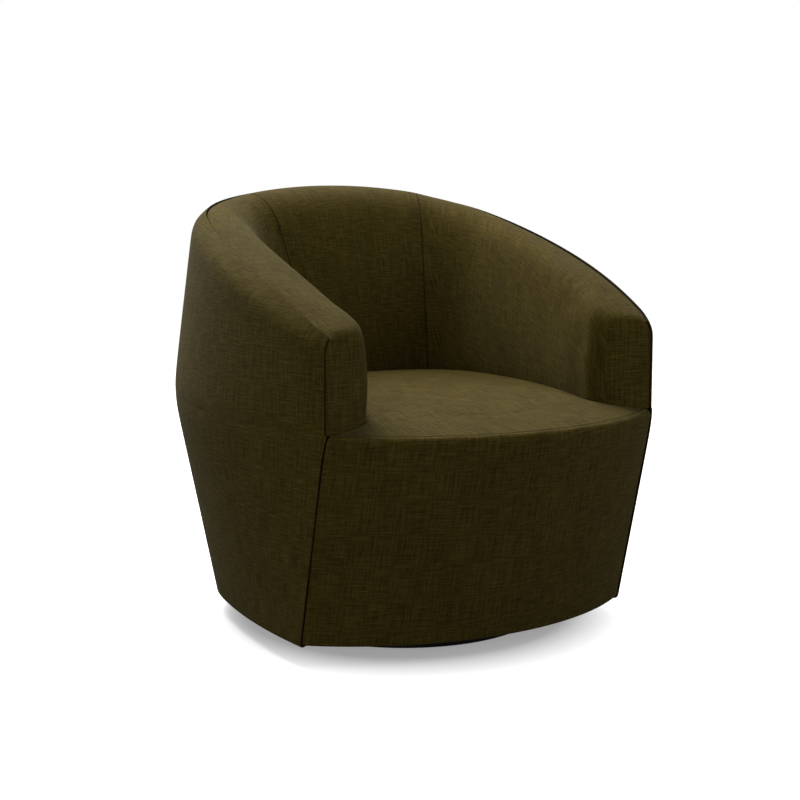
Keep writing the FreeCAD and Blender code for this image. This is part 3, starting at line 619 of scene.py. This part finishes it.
def padding_section(shares, places):
    """Softened section over the crown and down the inside, at distances from the rim's edge."""
    sizes = rim_sizes(shares)
    shoulder, face = sizes["shoulder"], sizes["face"]
    level = np.full_like(face, seat_meets_back)
    middle = ((shoulder[0] + face) / 2 + 7 * mm, (shoulder[1] + level) / 2)
    crown = through_three(sizes["edge"], sizes["crown"], shoulder, np.linspace(0, 1, 41))
    inside = through_three(shoulder, middle, (face, level), np.linspace(0, 1, 61)[1:])
    low = np.full_like(face, cover_end)
    end = through_three((face, level), (face, (level + low) / 2), (face, low), np.linspace(0, 1, 17)[1:])
    chain = [np.concatenate([crown[axis], inside[axis], end[axis]], -1) for axis in (0, 1)]
    steps = np.hypot(*[np.diff(values, axis=-1) for values in chain])
    lengths = np.concatenate([np.zeros(shares.shape + (1,)), np.cumsum(steps, -1)], -1)
    even = np.linspace(0, 1, 161)
    evenly = []
    for values in chain:
        rows = [np.interp(even * total[-1], total, row) for total, row in zip(lengths, values)]
        evenly.append(np.array(rows))
    return softened(evenly, section_length, places, section_softness), lengths[:, -1]


def arm_cover_grid():
    """Grid of an arm cover: arm front from its outer seam inwards, then the stations of the arm."""
    turn = np.radians(np.concatenate([[0, 1.2, 3, 5.5, 9, 13], np.arange(18, 90, 6)]))
    near = (front_set_back + arm_round * (1 - np.cos(turn))) / rim_length
    rounded = front_set_back + arm_round
    far = (rounded + spaced(back_seam * rim_length - rounded, 8 * mm)[6:]) / rim_length
    shares = np.concatenate([near, far[far > near[-1] + 3 * mm / rim_length]])
    places = spaced(section_length, 6 * mm)
    (reach, height), lengths = padding_section(shares, places)
    body = in_station(shares, reach, height)
    down = np.interp(places, [0, section_length], [0.985, 0.004])
    seam_section, _ = outside_section(shares[:1], down)
    seam_line = in_station(shares[:1], *seam_section)[0]
    across = spaced(arm_front_width, 6 * mm, both=False)[:-1] / arm_front_width
    front = seam_line + (body[0] - seam_line) * across[:, None, None]
    points = np.concatenate([front, body])
    u = np.concatenate([(across - 1) * 40 * mm, shares * rim_length])
    scale = np.concatenate([np.full(len(across), lengths[0]), lengths]) / section_length
    uv = uv_pairs(u, places * scale[:, None])
    return points, uv, smooth_step(u - drawn_tight, full_swell)


sewn_sides = ("first_row", "last_row", "first_column")
points, uv, soft = arm_cover_grid()
ahead = np.array([0.19, -0.98, 0])
pad = {"thickness": 12 * mm, "puff": 0.5 * mm, "swell": 4 * mm, "soft": soft, "sewn": 1.2 * mm}
arm_left = cover("linen_arm_left", points, uv, sewn_sides, planar=ahead, **pad)
mirror = {"planar": mirrored(ahead), "turned": True}
arm_right = cover("linen_arm_right", mirrored(points), uv + 2.3, sewn_sides, **pad, **mirror)
print("arm covers:", len(arm_left.data.vertices), "points each")

# %% [markdown]
# ## Inside back
#
# The inside back is a thicker pad that fills the space between the two back seams. Its grid is the
# arm cover's section, taken across the middle of the back, and the padding swells a little further.

# %% Inside back
def inside_back_grid():
    """Grid of the inside back: the padding's section at stations from seam to seam."""
    shares = rim_shares(back_seam, 2 - back_seam, 8 * mm)
    places = spaced(section_length, 6 * mm)
    (reach, height), lengths = padding_section(shares, places)
    uv = uv_pairs((shares - 1) * rim_length, places * (lengths / section_length)[:, None])
    return in_station(shares, reach, height), uv


points, uv = inside_back_grid()
inside_back = cover("linen_inside_back", points, uv + 5.9, sewn_sides, 14 * mm, swell=6 * mm, sewn=1.4 * mm)
print("inside back:", len(inside_back.data.vertices), "points")

# %% [markdown]
# ## Lower panels
#
# Below the seam the body draws in towards the floor, and its cover is four panels with upright seams
# at the corners. Each is ruled: straight lines run from the seam's plan down to the foot's plan. The
# lower edge is turned under, and the front panel ends in a narrow lip before the seat's own seam.

# %% Side and back lower panels
below_edge_shares = 1 + np.array([0, 1, 2, 3, 6, 10]) * 0.004
edge_radius = 4 * mm


def turned_under(seam_points, foot_points, drops, draw=None):
    """Grid down a ruled panel: the slope to 4 mm above the foot, a quarter turn, then a short hem.

    Draw is added to the slope, to draw the cover in at the seam.
    """
    slope = foot_points - seam_points
    inwards = -np.stack([foot_points[:, 0], foot_points[:, 1] * 0.9], -1)
    inwards = inwards / np.linalg.norm(inwards, axis=-1, keepdims=True)
    turn = np.radians([22, 45, 68, 90])
    height = seam_height - drops * fall
    flat = seam_points[:, None] + slope[:, None] * drops[None, :, None]
    if draw is not None:
        flat = flat + draw
    around = flat[:, -1:] + inwards[:, None] * (edge_radius * (1 - np.cos(turn)))[None, :, None]
    low = height[-1] - edge_radius * np.sin(turn)
    hem = around[:, -1:] + inwards[:, None] * (np.array([6, 14]) * mm)[None, :, None]
    parts = ((flat, height), (around, low), (hem, low[-1]))
    return np.concatenate([with_height(*part) for part in parts], 1)


def lower_panel_grid(first, last):
    """Grid of a side or back lower panel, from the seam down to its hem."""
    shares = rim_shares(first, last)
    drops = spaced(fall, 12 * mm, both=False) / fall
    drops = np.append(drops[:-1], 1 - edge_radius / fall)
    _, direction, _ = station(shares)
    at_front = front_draw(shares * rim_length)[:, None] * np.exp(-drops * fall / seam_draw_reach)
    drawn = seam_draw(shares, drops[None] * fall) + at_front
    draw = direction[:, None] * drawn[..., None]
    points = turned_under(rim_points(seam_plan, shares), rim_points(foot_plan, shares), drops, draw)
    return points, uv_pairs(shares * rim_length, np.append(drops, below_edge_shares) * fall)


sides_and_top = ("first_row", "last_row", "first_column")
points, uv = lower_panel_grid(0, back_seam)
lower_left = cover("linen_lower_left", points, uv + 7.7, sides_and_top, sheet)
lower_right = cover("linen_lower_right", mirrored(points), uv + 9.1, sides_and_top, sheet, turned=True)
points, uv = lower_panel_grid(back_seam, 2 - back_seam)
lower_back = cover("linen_lower_back", points, uv + 8.3, sides_and_top, sheet)
print("lower panels:", [len(piece.data.vertices) for piece in (lower_left, lower_right, lower_back)])

# %% Front lower panel with its lip
seat_top = 457 * mm
seat_fall = 37.3 * mm
seat_reach = 473 * mm
lip = 16 * mm
lip_round = 13 * mm
lip_radius = 14 * mm


def seat_height(points):
    """Height of the crowned seat: it falls with the distance from the middle to the power of 2.6."""
    return seat_top - seat_fall * (np.linalg.norm(points[..., :2], axis=-1) / seat_reach) ** 2.6


def front_arc(plan, across, inset=0.0):
    """Points of a plan's front arc, from -1 at the right corner to 1 at the left one."""
    centre_x, centre_y, radius, first, last = plan["front"]
    made = arc_points((centre_x, centre_y, radius - inset, first, last), np.abs(across))
    made[..., 0] *= np.where(across < 0, -1, 1)
    return made


def front_panel_grid():
    """Grid of the front panel: over the lip, down the slope, round the edge and under."""
    length = 2 * arc_length(seam_plan["front"])
    across = 2 * spaced(length, 9 * mm) / length - 1
    top = front_arc(seam_plan, across)
    inner = front_arc(seam_plan, across, lip)
    foot = front_arc(foot_plan, across)
    drops = spaced(fall, 12 * mm, both=False) / fall
    drops = np.append(drops[(drops * fall > lip_radius + 1 * mm) & (drops < 0.98)], 1 - edge_radius / fall)
    slope = turned_under(top, foot, drops)
    way = (inner - top) / lip
    angle = np.radians(np.linspace(90, 0, 10))
    slant = (foot - top) / fall
    depth = lip_radius * (1 - np.sin(angle))
    bend_in = lip_radius * (1 - np.cos(angle))
    base = seat_height(inner) - 2 * mm
    rounded = quarter_round((1 - np.abs(across)) * length / 2, lip_round)
    bend = top[:, None] + way[:, None] * bend_in[None, :, None] + slant[:, None] * depth[None, :, None]
    bend = with_height(bend, (base - 0.8 * mm)[:, None] - depth[None, :])
    flat_in = np.array([16, 15.8, 15.4, 14.9, 14.4]) * mm
    flat = top[:, None] + way[:, None] * flat_in[None, :, None]
    points = np.concatenate([with_height(flat, base[:, None] - 0.3 * mm), bend, slope], 1)
    raised = np.clip((points[..., 2] - seam_height) / (base - seam_height)[:, None], 0, 1)
    points[..., 2] -= rounded[:, None] * raised * (0.8 * lip_round)
    near_seam = np.exp(-np.clip(seam_height - points[..., 2], 0, None) / seam_draw_reach)
    points[..., 0] -= np.sign(across)[:, None] * rounded[:, None] * near_seam * (0.4 * lip_round)
    down = np.concatenate([-flat_in, depth, drops * fall, below_edge_shares * fall])
    return points, uv_pairs(across * length / 2, down)


points, uv = front_panel_grid()
lower_front = cover("linen_lower_front", points, uv + 11.3, sides_and_top, sheet, turned=True)
print("front panel:", len(lower_front.data.vertices), "points")

# %% [markdown]
# ## Seat
#
# The seat is a tight pad, wider in front of the arms than between them. Its outline follows from the
# front arc, the arm fronts and the padding's face, and the pad is a set of rings that shrink from
# that outline to a point. Its crown is drawn first, and the pressure adds to it.

# %% Seat outline and rings
def seat_outline():
    """Closed outline of the seat: front arc, arm front, round inner corner, side and back, mirrored."""
    first = front_set_back / rim_length
    start, direction, _ = station(np.array([first]))
    start, direction = start[0], direction[0]
    centre = np.array([0, seam_plan["front"][1]])
    radius = seam_plan["front"][2] - lip
    offset = start - centre
    half = offset @ direction
    reach = -half - math.sqrt(half ** 2 - offset @ offset + radius ** 2)
    tip = start + direction * reach
    turn = np.radians(np.linspace(0, 90, 16))
    rounded = first + arm_round * (1 - np.cos(turn)) / rim_length
    shares = np.concatenate([rounded, np.linspace(rounded[-1], 1, 90)[1:]])
    face = rim_sizes(shares)["face"][:, None]
    inner = in_station(shares, face + 1 * mm, np.zeros_like(face))[:, 0, :2]
    last = math.atan2(tip[1] - centre[1], tip[0] - centre[0])
    front = arc_points((0, centre[1], radius, -math.pi / 2, last), np.linspace(0, 1, 60))
    edge = np.linspace(tip, inner[0], 8)[1:-1]
    left = np.concatenate([front, edge, inner])
    right = (left * np.array([-1, 1]))[::-1][1:-1]
    loop = np.concatenate([left, right])
    closed = np.concatenate([loop, loop[:1]])
    length = np.concatenate([[0], np.cumsum(np.linalg.norm(np.diff(closed, axis=0), axis=1))])
    even = np.linspace(0, length[-1], 361)[:-1]
    return np.stack([np.interp(even, length, closed[:, axis]) for axis in (0, 1)], -1)


def ring_faces(rows, columns):
    """Faces of rings that close on themselves, with a fan to a point at either end."""
    index = np.arange(rows * columns).reshape(rows, columns)
    following = np.roll(index, -1, axis=1)
    quads = np.stack([index[:-1], index[1:], following[1:], following[:-1]], -1).reshape(-1, 4)
    first, last = rows * columns, rows * columns + 1
    fans = [np.stack([np.full(columns, first), index[0], following[0]], -1)]
    fans.append(np.stack([np.full(columns, last), following[-1], index[-1]], -1))
    return quads.tolist() + np.concatenate(fans).tolist()


outline = seat_outline()
centre = np.array([0, -330 * mm])
seat_under = 372 * mm
seat_puff = 2 * mm
usual_radius = 0.3
inset = np.concatenate([[0, 0.3, 0.8, 1.6, 2.8, 4.4, 6.5, 9, 12], np.arange(18, 60, 8)]) * mm
shrink = np.concatenate([1 - inset / usual_radius, np.linspace(0.78, 0.04, 22)])[::-1]
rings = centre + (outline - centre)[None] * shrink[:, None, None]
top = with_height(rings, seat_height(rings) - seat_puff)
skirt = [with_height(outline, seat_height(outline) - depth * mm) for depth in (8, 25, 50)]
under = [with_height(centre + (outline - centre) * share, seat_under) for share in (0.95, 0.6, 0.2, 0.05)]
grid = np.concatenate([top, skirt, under])
print("seat outline:", len(outline), "points, rings:", len(grid))

# %% Seat pad
poles = np.array([[0, centre[1], seat_height(centre) - seat_puff], [0, centre[1], seat_under]])
top_count = top.shape[0] * top.shape[1]
points = np.concatenate([grid.reshape(-1, 3), poles])
seat = make_piece("linen_seat", points, ring_faces(*grid.shape[:2]), points[:, :2] + 13.7)
loop = np.concatenate([outline, outline[:1]])
distance, place = distance_to_lines(top, [with_height(loop, seat_height(loop))])
held = np.ones(len(points), bool)
held[:top_count] = (distance < 4 * mm).ravel()
held[-2] = False
move = swollen(seat, held, 6 * mm)
columns = grid.shape[1]
padded = neighbour_mean(np.concatenate([move[:-2].reshape(grid.shape)] * 3, 1), 24)[:, columns:2 * columns]
padded[:6] = padded[6].mean(0)
move[:-2] = padded.reshape(-1, 3)
move[-2] = padded[0, 0]
tuck = 8 * mm
behind_front = top[..., 1] + 325 * mm + 0.1 * np.abs(top[..., 0])
at_arm = 1 / (1 + np.exp(-behind_front / (6 * mm)))
drop = sewn_edge(distance) * (1 - at_arm) + sewn_edge(distance, tuck, tuck) * at_arm
# Painted shade along the seat's seam.
set_painted_seam_shade(seat, distance)
final = points + move
final[:top_count, 2] += (puckers(distance, place) - drop).ravel()
set_points(seat, final)
print("seat:", len(points), "points, highest", round(float(final[:, 2].max()) / mm, 1), "mm")

# %% [markdown]
# ## Which cover stands for which solid
#
# Every new cover rides on the part of the chair that turns and hides the plain solid that it stands for.

# %% Ride and replace
stands_for = {
    outside_arm_left: ["outside_arm_left"],
    outside_arm_right: ["outside_arm_right"],
    outside_back: ["outside_back"],
    arm_left: ["inside_arm_left", "arm_front_left"],
    arm_right: ["inside_arm_right", "arm_front_right"],
    inside_back: ["inside_back"],
    lower_left: ["lower_panel_left"],
    lower_right: ["lower_panel_right"],
    lower_back: ["lower_back_panel"],
    lower_front: ["lower_front_panel"],
    seat: ["seat_pad"],
}
for piece, solids in stands_for.items():
    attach(piece, "chair")
    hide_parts(*solids)
print("covers:", len(stands_for))

# %% [markdown]
# ## Olive linen
#
# The cloth is a plain weave of uneven yarn: threads run both ways, some are thicker, and a few are
# lighter and yellower. An image could show that, but a pattern on the cover's own UV map follows the
# cloth and never repeats. Coarse noise that is stretched along a thread gives the slubs, fine noise
# gives the weave, and both lift the surface a little as a bump. Sheen stands for the loose fibres,
# which make the cloth paler where light grazes it.

# %% Node helpers
for material in list(bpy.data.materials):
    bpy.data.materials.remove(material)


def new_material(name):
    """Node material with an output and a Principled shader, its node tree and the shader."""
    material = bpy.data.materials.new(name)
    material.use_nodes = True
    tree = material.node_tree
    return material, tree, tree.nodes["Principled BSDF"]


def add(tree, kind, values=None, **settings):
    """New node with its settings and its sockets' values."""
    node = tree.nodes.new(kind)
    for key, value in settings.items():
        setattr(node, key, value)
    for key, value in (values or {}).items():
        node.inputs[key].default_value = value
    return node


def joined(tree, *pairs):
    """Links each output socket to an input socket."""
    for source, target in pairs:
        tree.links.new(source, target)


def fed(tree, sockets, values):
    """Gives each input socket its value, or a link where the value is itself a socket."""
    for socket, value in zip(sockets, values):
        if isinstance(value, bpy.types.NodeSocket):
            tree.links.new(value, socket)
        else:
            socket.default_value = value


def mixed(tree, factor, first, second, blend="MIX"):
    """Colour mix node. First and second are sockets or colours."""
    node = add(tree, "ShaderNodeMix", data_type="RGBA", blend_type=blend)
    fed(tree, [node.inputs[name] for name in ("Factor", "A", "B")], (factor, first, second))
    return node.outputs["Result"]


def stretched_noise(tree, coordinates, scale, detail=2.0):
    """Noise on coordinates that are scaled per axis, so its grains are long along one of them."""
    mapping = add(tree, "ShaderNodeMapping", {"Scale": scale})
    noise = add(tree, "ShaderNodeTexNoise", {"Scale": 1.0, "Detail": detail, "Roughness": 0.55})
    fed(tree, [mapping.inputs["Vector"], noise.inputs["Vector"]], [coordinates, mapping.outputs["Vector"]])
    return noise.outputs["Fac"]


def ranged(tree, value, low, high, to_low=0.0, to_high=1.0):
    """A value taken from one range to another, clamped."""
    node = add(tree, "ShaderNodeMapRange")
    names = ("Value", "From Min", "From Max", "To Min", "To Max")
    fed(tree, [node.inputs[name] for name in names], (value, low, high, to_low, to_high))
    return node.outputs["Result"]


def finish(tree, shader, colour, height, strength, depth, roughness):
    """Gives a shader its colour, its roughness and a bump of a strength and a depth in metres."""
    bump = add(tree, "ShaderNodeBump", {"Strength": strength, "Distance": depth})
    joined(
        tree,
        (height, bump.inputs["Height"]),
        (bump.outputs["Normal"], shader.inputs["Normal"]),
        (colour, shader.inputs["Base Color"]),
    )
    shader.inputs["Roughness"].default_value = roughness


def summed(tree, first, second, operation="ADD"):
    """Sum, product or another step of two values."""
    node = add(tree, "ShaderNodeMath", operation=operation)
    fed(tree, node.inputs, (first, second))
    return node.outputs[0]


# %% Linen
def make_linen():
    """Olive linen: two directions of slubs, a fine weave, slow variation, painted seam shade, bump and
    sheen.
    """
    material, tree, shader = new_material("olive_linen")
    uv = add(tree, "ShaderNodeUVMap", uv_map="weave").outputs["UV"]
    across = stretched_noise(tree, uv, (24, 380, 1))
    upright = stretched_noise(tree, uv, (340, 17, 1))
    fine_across = stretched_noise(tree, uv, (150, 1300, 1), 1.0)
    fine_upright = stretched_noise(tree, uv, (1150, 130, 1), 1.0)
    slow = stretched_noise(tree, uv, (9, 7, 1), 3.0)
    slubs = summed(tree, across, upright)
    threads = summed(tree, fine_across, fine_upright)
    dark, pale = (0.024, 0.0166, 0.0020, 1), (0.074, 0.0530, 0.0095, 1)
    body = mixed(tree, ranged(tree, slubs, 0.82, 1.18), dark, pale)
    body = mixed(tree, ranged(tree, threads, 0.75, 1.3, 0.0, 0.5), body, (0.104, 0.0758, 0.0150, 1))
    bright = ranged(tree, summed(tree, across, fine_across), 1.18, 1.36, 0, 0.5)
    body = mixed(tree, bright, body, (0.160, 0.1175, 0.024, 1))
    shade = mixed(tree, ranged(tree, slow, 0.3, 0.7), (0.91, 0.91, 0.90, 1), (1.08, 1.08, 1.08, 1))
    colour = mixed(tree, 1.0, body, shade, "MULTIPLY")
    # Painted seam shade: where the attribute is high, the linen is mixed towards a near-black brown.
    painted_seam_shade = add(tree, "ShaderNodeAttribute", attribute_name="painted_seam_shade").outputs["Fac"]
    colour = mixed(tree, summed(tree, painted_seam_shade, 0.8, "MULTIPLY"), colour, (0.006, 0.0042, 0.001, 1))
    height = summed(tree, summed(tree, slubs, 0.6, "MULTIPLY"), summed(tree, threads, 0.6, "MULTIPLY"))
    finish(tree, shader, colour, height, 0.55, 0.0006, 0.92)
    shader.inputs["Specular IOR Level"].default_value = 0.04
    shader.inputs["Sheen Weight"].default_value = 0.07
    shader.inputs["Sheen Roughness"].default_value = 0.45
    shader.inputs["Sheen Tint"].default_value = (0.85, 0.80, 0.62, 1)
    return material


linen = make_linen()
for piece in stands_for:
    piece.data.materials.append(linen)
print("linen on", len(stands_for), "covers")

# %% [markdown]
# ## Finishes of the hidden parts
#
# The frame is birch plywood and beech, the straps are woven elastic, and the swivel is painted and
# bright steel. They keep their CAD shape, which has no UV map, so their materials read object
# coordinates. Each pattern has the real scale of its grain, weave or brushing.

# %% Wood and plywood
def make_wood(name, dark, pale, rings_per_m, roughness, plies=False):
    """Wood: grain noise stretched along Y, and plywood also has dark glue lines stacked in Z."""
    material, tree, shader = new_material(name)
    place = add(tree, "ShaderNodeTexCoord").outputs["Object"]
    grain = stretched_noise(tree, place, (rings_per_m, rings_per_m * 0.05, rings_per_m), 4.0)
    fleck = stretched_noise(tree, place, (900, 60, 900), 2.0)
    colour = mixed(tree, ranged(tree, grain, 0.35, 0.68), dark, pale)
    colour = mixed(tree, ranged(tree, fleck, 0.6, 0.75, 0, 0.35), colour, dark)
    if plies:
        wave = add(tree, "ShaderNodeTexWave", {"Scale": 110.0, "Distortion": 0.6}, bands_direction="Z")
        joined(tree, (place, wave.inputs["Vector"]))
        colour = mixed(tree, ranged(tree, wave.outputs["Fac"], 0.75, 0.95, 0, 0.3), colour, dark)
    finish(tree, shader, colour, grain, 0.3, 0.0004, roughness)
    return material


def make_paint(name, base, roughness, grain):
    """Satin paint or plastic: almost even colour, a faint orange-peel bump and paler worn flecks."""
    material, tree, shader = new_material(name)
    place = add(tree, "ShaderNodeTexCoord").outputs["Object"]
    peel = stretched_noise(tree, place, (grain, grain, grain), 2.0)
    worn = stretched_noise(tree, place, (40, 40, 40), 5.0)
    colour = mixed(tree, ranged(tree, worn, 0.62, 0.8, 0, 0.5), base, (0.045, 0.043, 0.04, 1))
    finish(tree, shader, colour, peel, 0.25, 0.0003, roughness)
    return material


birch = (0.36, 0.24, 0.13, 1), (0.62, 0.46, 0.29, 1)
beech = (0.40, 0.25, 0.14, 1), (0.64, 0.45, 0.28, 1)
finish_of_slot = {
    "plywood": make_wood("birch_plywood", *birch, 160, 0.7, plies=True),
    "frame_wood": make_wood("beech", *beech, 240, 0.6),
    "black_wood": make_paint("black_painted_wood", (0.010, 0.010, 0.0105, 1), 0.5, 500),
    "plate_steel": make_paint("black_steel_paint", (0.022, 0.022, 0.024, 1), 0.4, 1400),
    "cage_plastic": make_paint("cage_plastic", (0.55, 0.55, 0.52, 1), 0.55, 900),
    "olive_fabric": linen,
}
print("finishes of wood, paint and linen:", len(finish_of_slot))

# %% Steel, plastic and cloths
def make_steel(name, dark, pale, roughness, stretch):
    """Bright steel: streaks of brushing that are long in one direction."""
    material, tree, shader = new_material(name)
    place = add(tree, "ShaderNodeTexCoord").outputs["Object"]
    streak = stretched_noise(tree, place, stretch, 3.0)
    colour = mixed(tree, ranged(tree, streak, 0.35, 0.65), dark, pale)
    finish(tree, shader, colour, streak, 0.12, 0.0001, roughness)
    shader.inputs["Metallic"].default_value = 1.0
    return material


wave_scale_per_pitch = 0.314


def make_cloth(name, dark, pale, pitch, sheen):
    """Plain cloth: fine waves along X and Y, one to a pitch in metres, with noise in the yarn."""
    material, tree, shader = new_material(name)
    place = add(tree, "ShaderNodeTexCoord").outputs["Object"]
    waves = []
    for direction in ("X", "Y"):
        values = {"Scale": wave_scale_per_pitch / pitch, "Distortion": 1.2}
        wave = add(tree, "ShaderNodeTexWave", values, bands_direction=direction)
        joined(tree, (place, wave.inputs["Vector"]))
        waves.append(wave.outputs["Fac"])
    weave = summed(tree, *waves)
    yarn = stretched_noise(tree, place, (300, 300, 300), 2.0)
    colour = mixed(tree, ranged(tree, summed(tree, weave, yarn), 0.6, 2.2), dark, pale)
    finish(tree, shader, colour, weave, 0.5, 0.0004, 0.95)
    shader.inputs["Sheen Weight"].default_value = sheen
    return material


def grey(value):
    """Colour of one grey value."""
    return (value, value, value, 1)


elastic = (0.16, 0.12, 0.07, 1), (0.36, 0.29, 0.19, 1)
brushed = (0.42, 0.42, 0.43, 1), (0.62, 0.62, 0.63, 1)
polished = (0.66, 0.66, 0.67, 1), (0.74, 0.74, 0.75, 1)
finish_of_slot |= {
    "bright_steel": make_steel("bright_steel", *brushed, 0.35, (900, 900, 60)),
    "ball_steel": make_steel("ball_steel", *polished, 0.12, (300, 300, 300)),
    "lining_cloth": make_cloth("lining_cloth", grey(0.010), grey(0.032), 0.0012, 0.1),
    "webbing": make_cloth("webbing", *elastic, 0.0024, 0.1),
    "felt": make_cloth("felt", (0.025, 0.025, 0.026, 1), grey(0.06), 0.0008, 0.4),
}
print("all finishes:", list(finish_of_slot))

# %% Finish every CAD node
for row in frame["record"]["subparts"]:
    node = nodes[row["node"]]
    node.data.materials.clear()
    node.data.materials.append(finish_of_slot[row["material_slot"]])

# %% [markdown]
# ## Floor, light and camera
#
# Most light falls from a wide soft lamp overhead, two lamps in front shape the sides, and the world
# fills in the shadows. The floor is white to the camera but keeps the soft shadow under the disc, and
# close to the base its white is dimmed, which paints a darker contact shadow there. The camera stands
# where the outlines of the chair fit best.

# %% Floor
def make_floor_material():
    """White floor: plain diffuse, with white added for the camera only, dimmed near the base as painted
    shadow.
    """
    material, tree, _ = new_material("studio_floor")
    tree.nodes.clear()
    path = add(tree, "ShaderNodeLightPath")
    seen = path.outputs["Is Camera Ray"]
    diffuse = add(tree, "ShaderNodeBsdfDiffuse")
    shade = mixed(tree, seen, (0.12, 0.12, 0.12, 1), (0.80, 0.80, 0.80, 1))
    camera_white_with_painted_shadow = add(tree, "ShaderNodeEmission", {"Color": (1, 1, 1, 1)})
    place = add(tree, "ShaderNodeTexCoord").outputs["Object"]
    away = add(tree, "ShaderNodeVectorMath", operation="LENGTH")
    joined(tree, (place, away.inputs[0]))
    # Painted contact shadow: the camera's white falls from 0.92 to 0.30 within 0.43 m of the middle, so the
    # floor round the base is darker than the lamps alone make it.
    strength = summed(tree, seen, ranged(tree, away.outputs["Value"], 0.31, 0.43, 0.30, 0.92), "MULTIPLY")
    both = add(tree, "ShaderNodeAddShader")
    output = add(tree, "ShaderNodeOutputMaterial")
    joined(
        tree,
        (shade, diffuse.inputs["Color"]),
        (strength, camera_white_with_painted_shadow.inputs["Strength"]),
        (diffuse.outputs[0], both.inputs[0]),
        (camera_white_with_painted_shadow.outputs[0], both.inputs[1]),
        (both.outputs[0], output.inputs["Surface"]),
    )
    return material


def make_floor(size=12.0, count=9):
    """Flat square floor as a small grid."""
    side = np.linspace(-size / 2, size / 2, count)
    x, y = np.meshgrid(side, side, indexing="ij")
    points = np.stack([x, y, np.zeros_like(x)], -1)
    return make_piece("floor", points, grid_faces(count, count), points[..., :2])


floor = make_floor()
floor.data.materials.append(make_floor_material())
print("floor:", len(floor.data.polygons), "faces")

# %% Light
def make_lamp(name, place, target, size, power):
    """Square area lamp at a place, turned towards a target."""
    light = bpy.data.lights.new(name, "AREA")
    light.size = size
    light.energy = power
    lamp = bpy.data.objects.new(name, light)
    bpy.context.scene.collection.objects.link(lamp)
    lamp.location = place
    lamp.rotation_euler = (Vector(target) - Vector(place)).to_track_quat("-Z", "Y").to_euler()


make_lamp("overhead", (-0.2, 1.5, 2.8), (0, 0, 0.5), 2.2, 150)
make_lamp("left", (-2.8, -1.4, 0.6), (0, 0, 0.4), 1.2, 15)
make_lamp("right", (2.0, -2.4, 1.6), (0, 0, 0.5), 1.6, 25)

world = bpy.data.worlds.new("studio")
bpy.context.scene.world = world
world.use_nodes = True
tree = world.node_tree
background = tree.nodes["Background"]
path = add(tree, "ShaderNodeLightPath")
joined(tree, (ranged(tree, path.outputs["Is Camera Ray"], 0, 1, 0.20, 1.0), background.inputs["Strength"]))
background.inputs["Color"].default_value = (1, 1, 1, 1)
bpy.context.scene.view_settings.view_transform = "Standard"
print("lamps:", list(bpy.data.lights.keys()))

# %% Camera
camera = bpy.data.objects.new("camera", bpy.data.cameras.new("camera"))
bpy.context.scene.collection.objects.link(camera)
camera.location = (-1.3479, -2.5082, 0.8279)
camera.rotation_euler = Vector((0.4662, 0.8729, -0.144)).to_track_quat("-Z", "Y").to_euler()
camera.data.sensor_width = 36
camera.data.lens = 67.28
bpy.context.scene.camera = camera
print("camera at", tuple(round(v, 3) for v in camera.location))
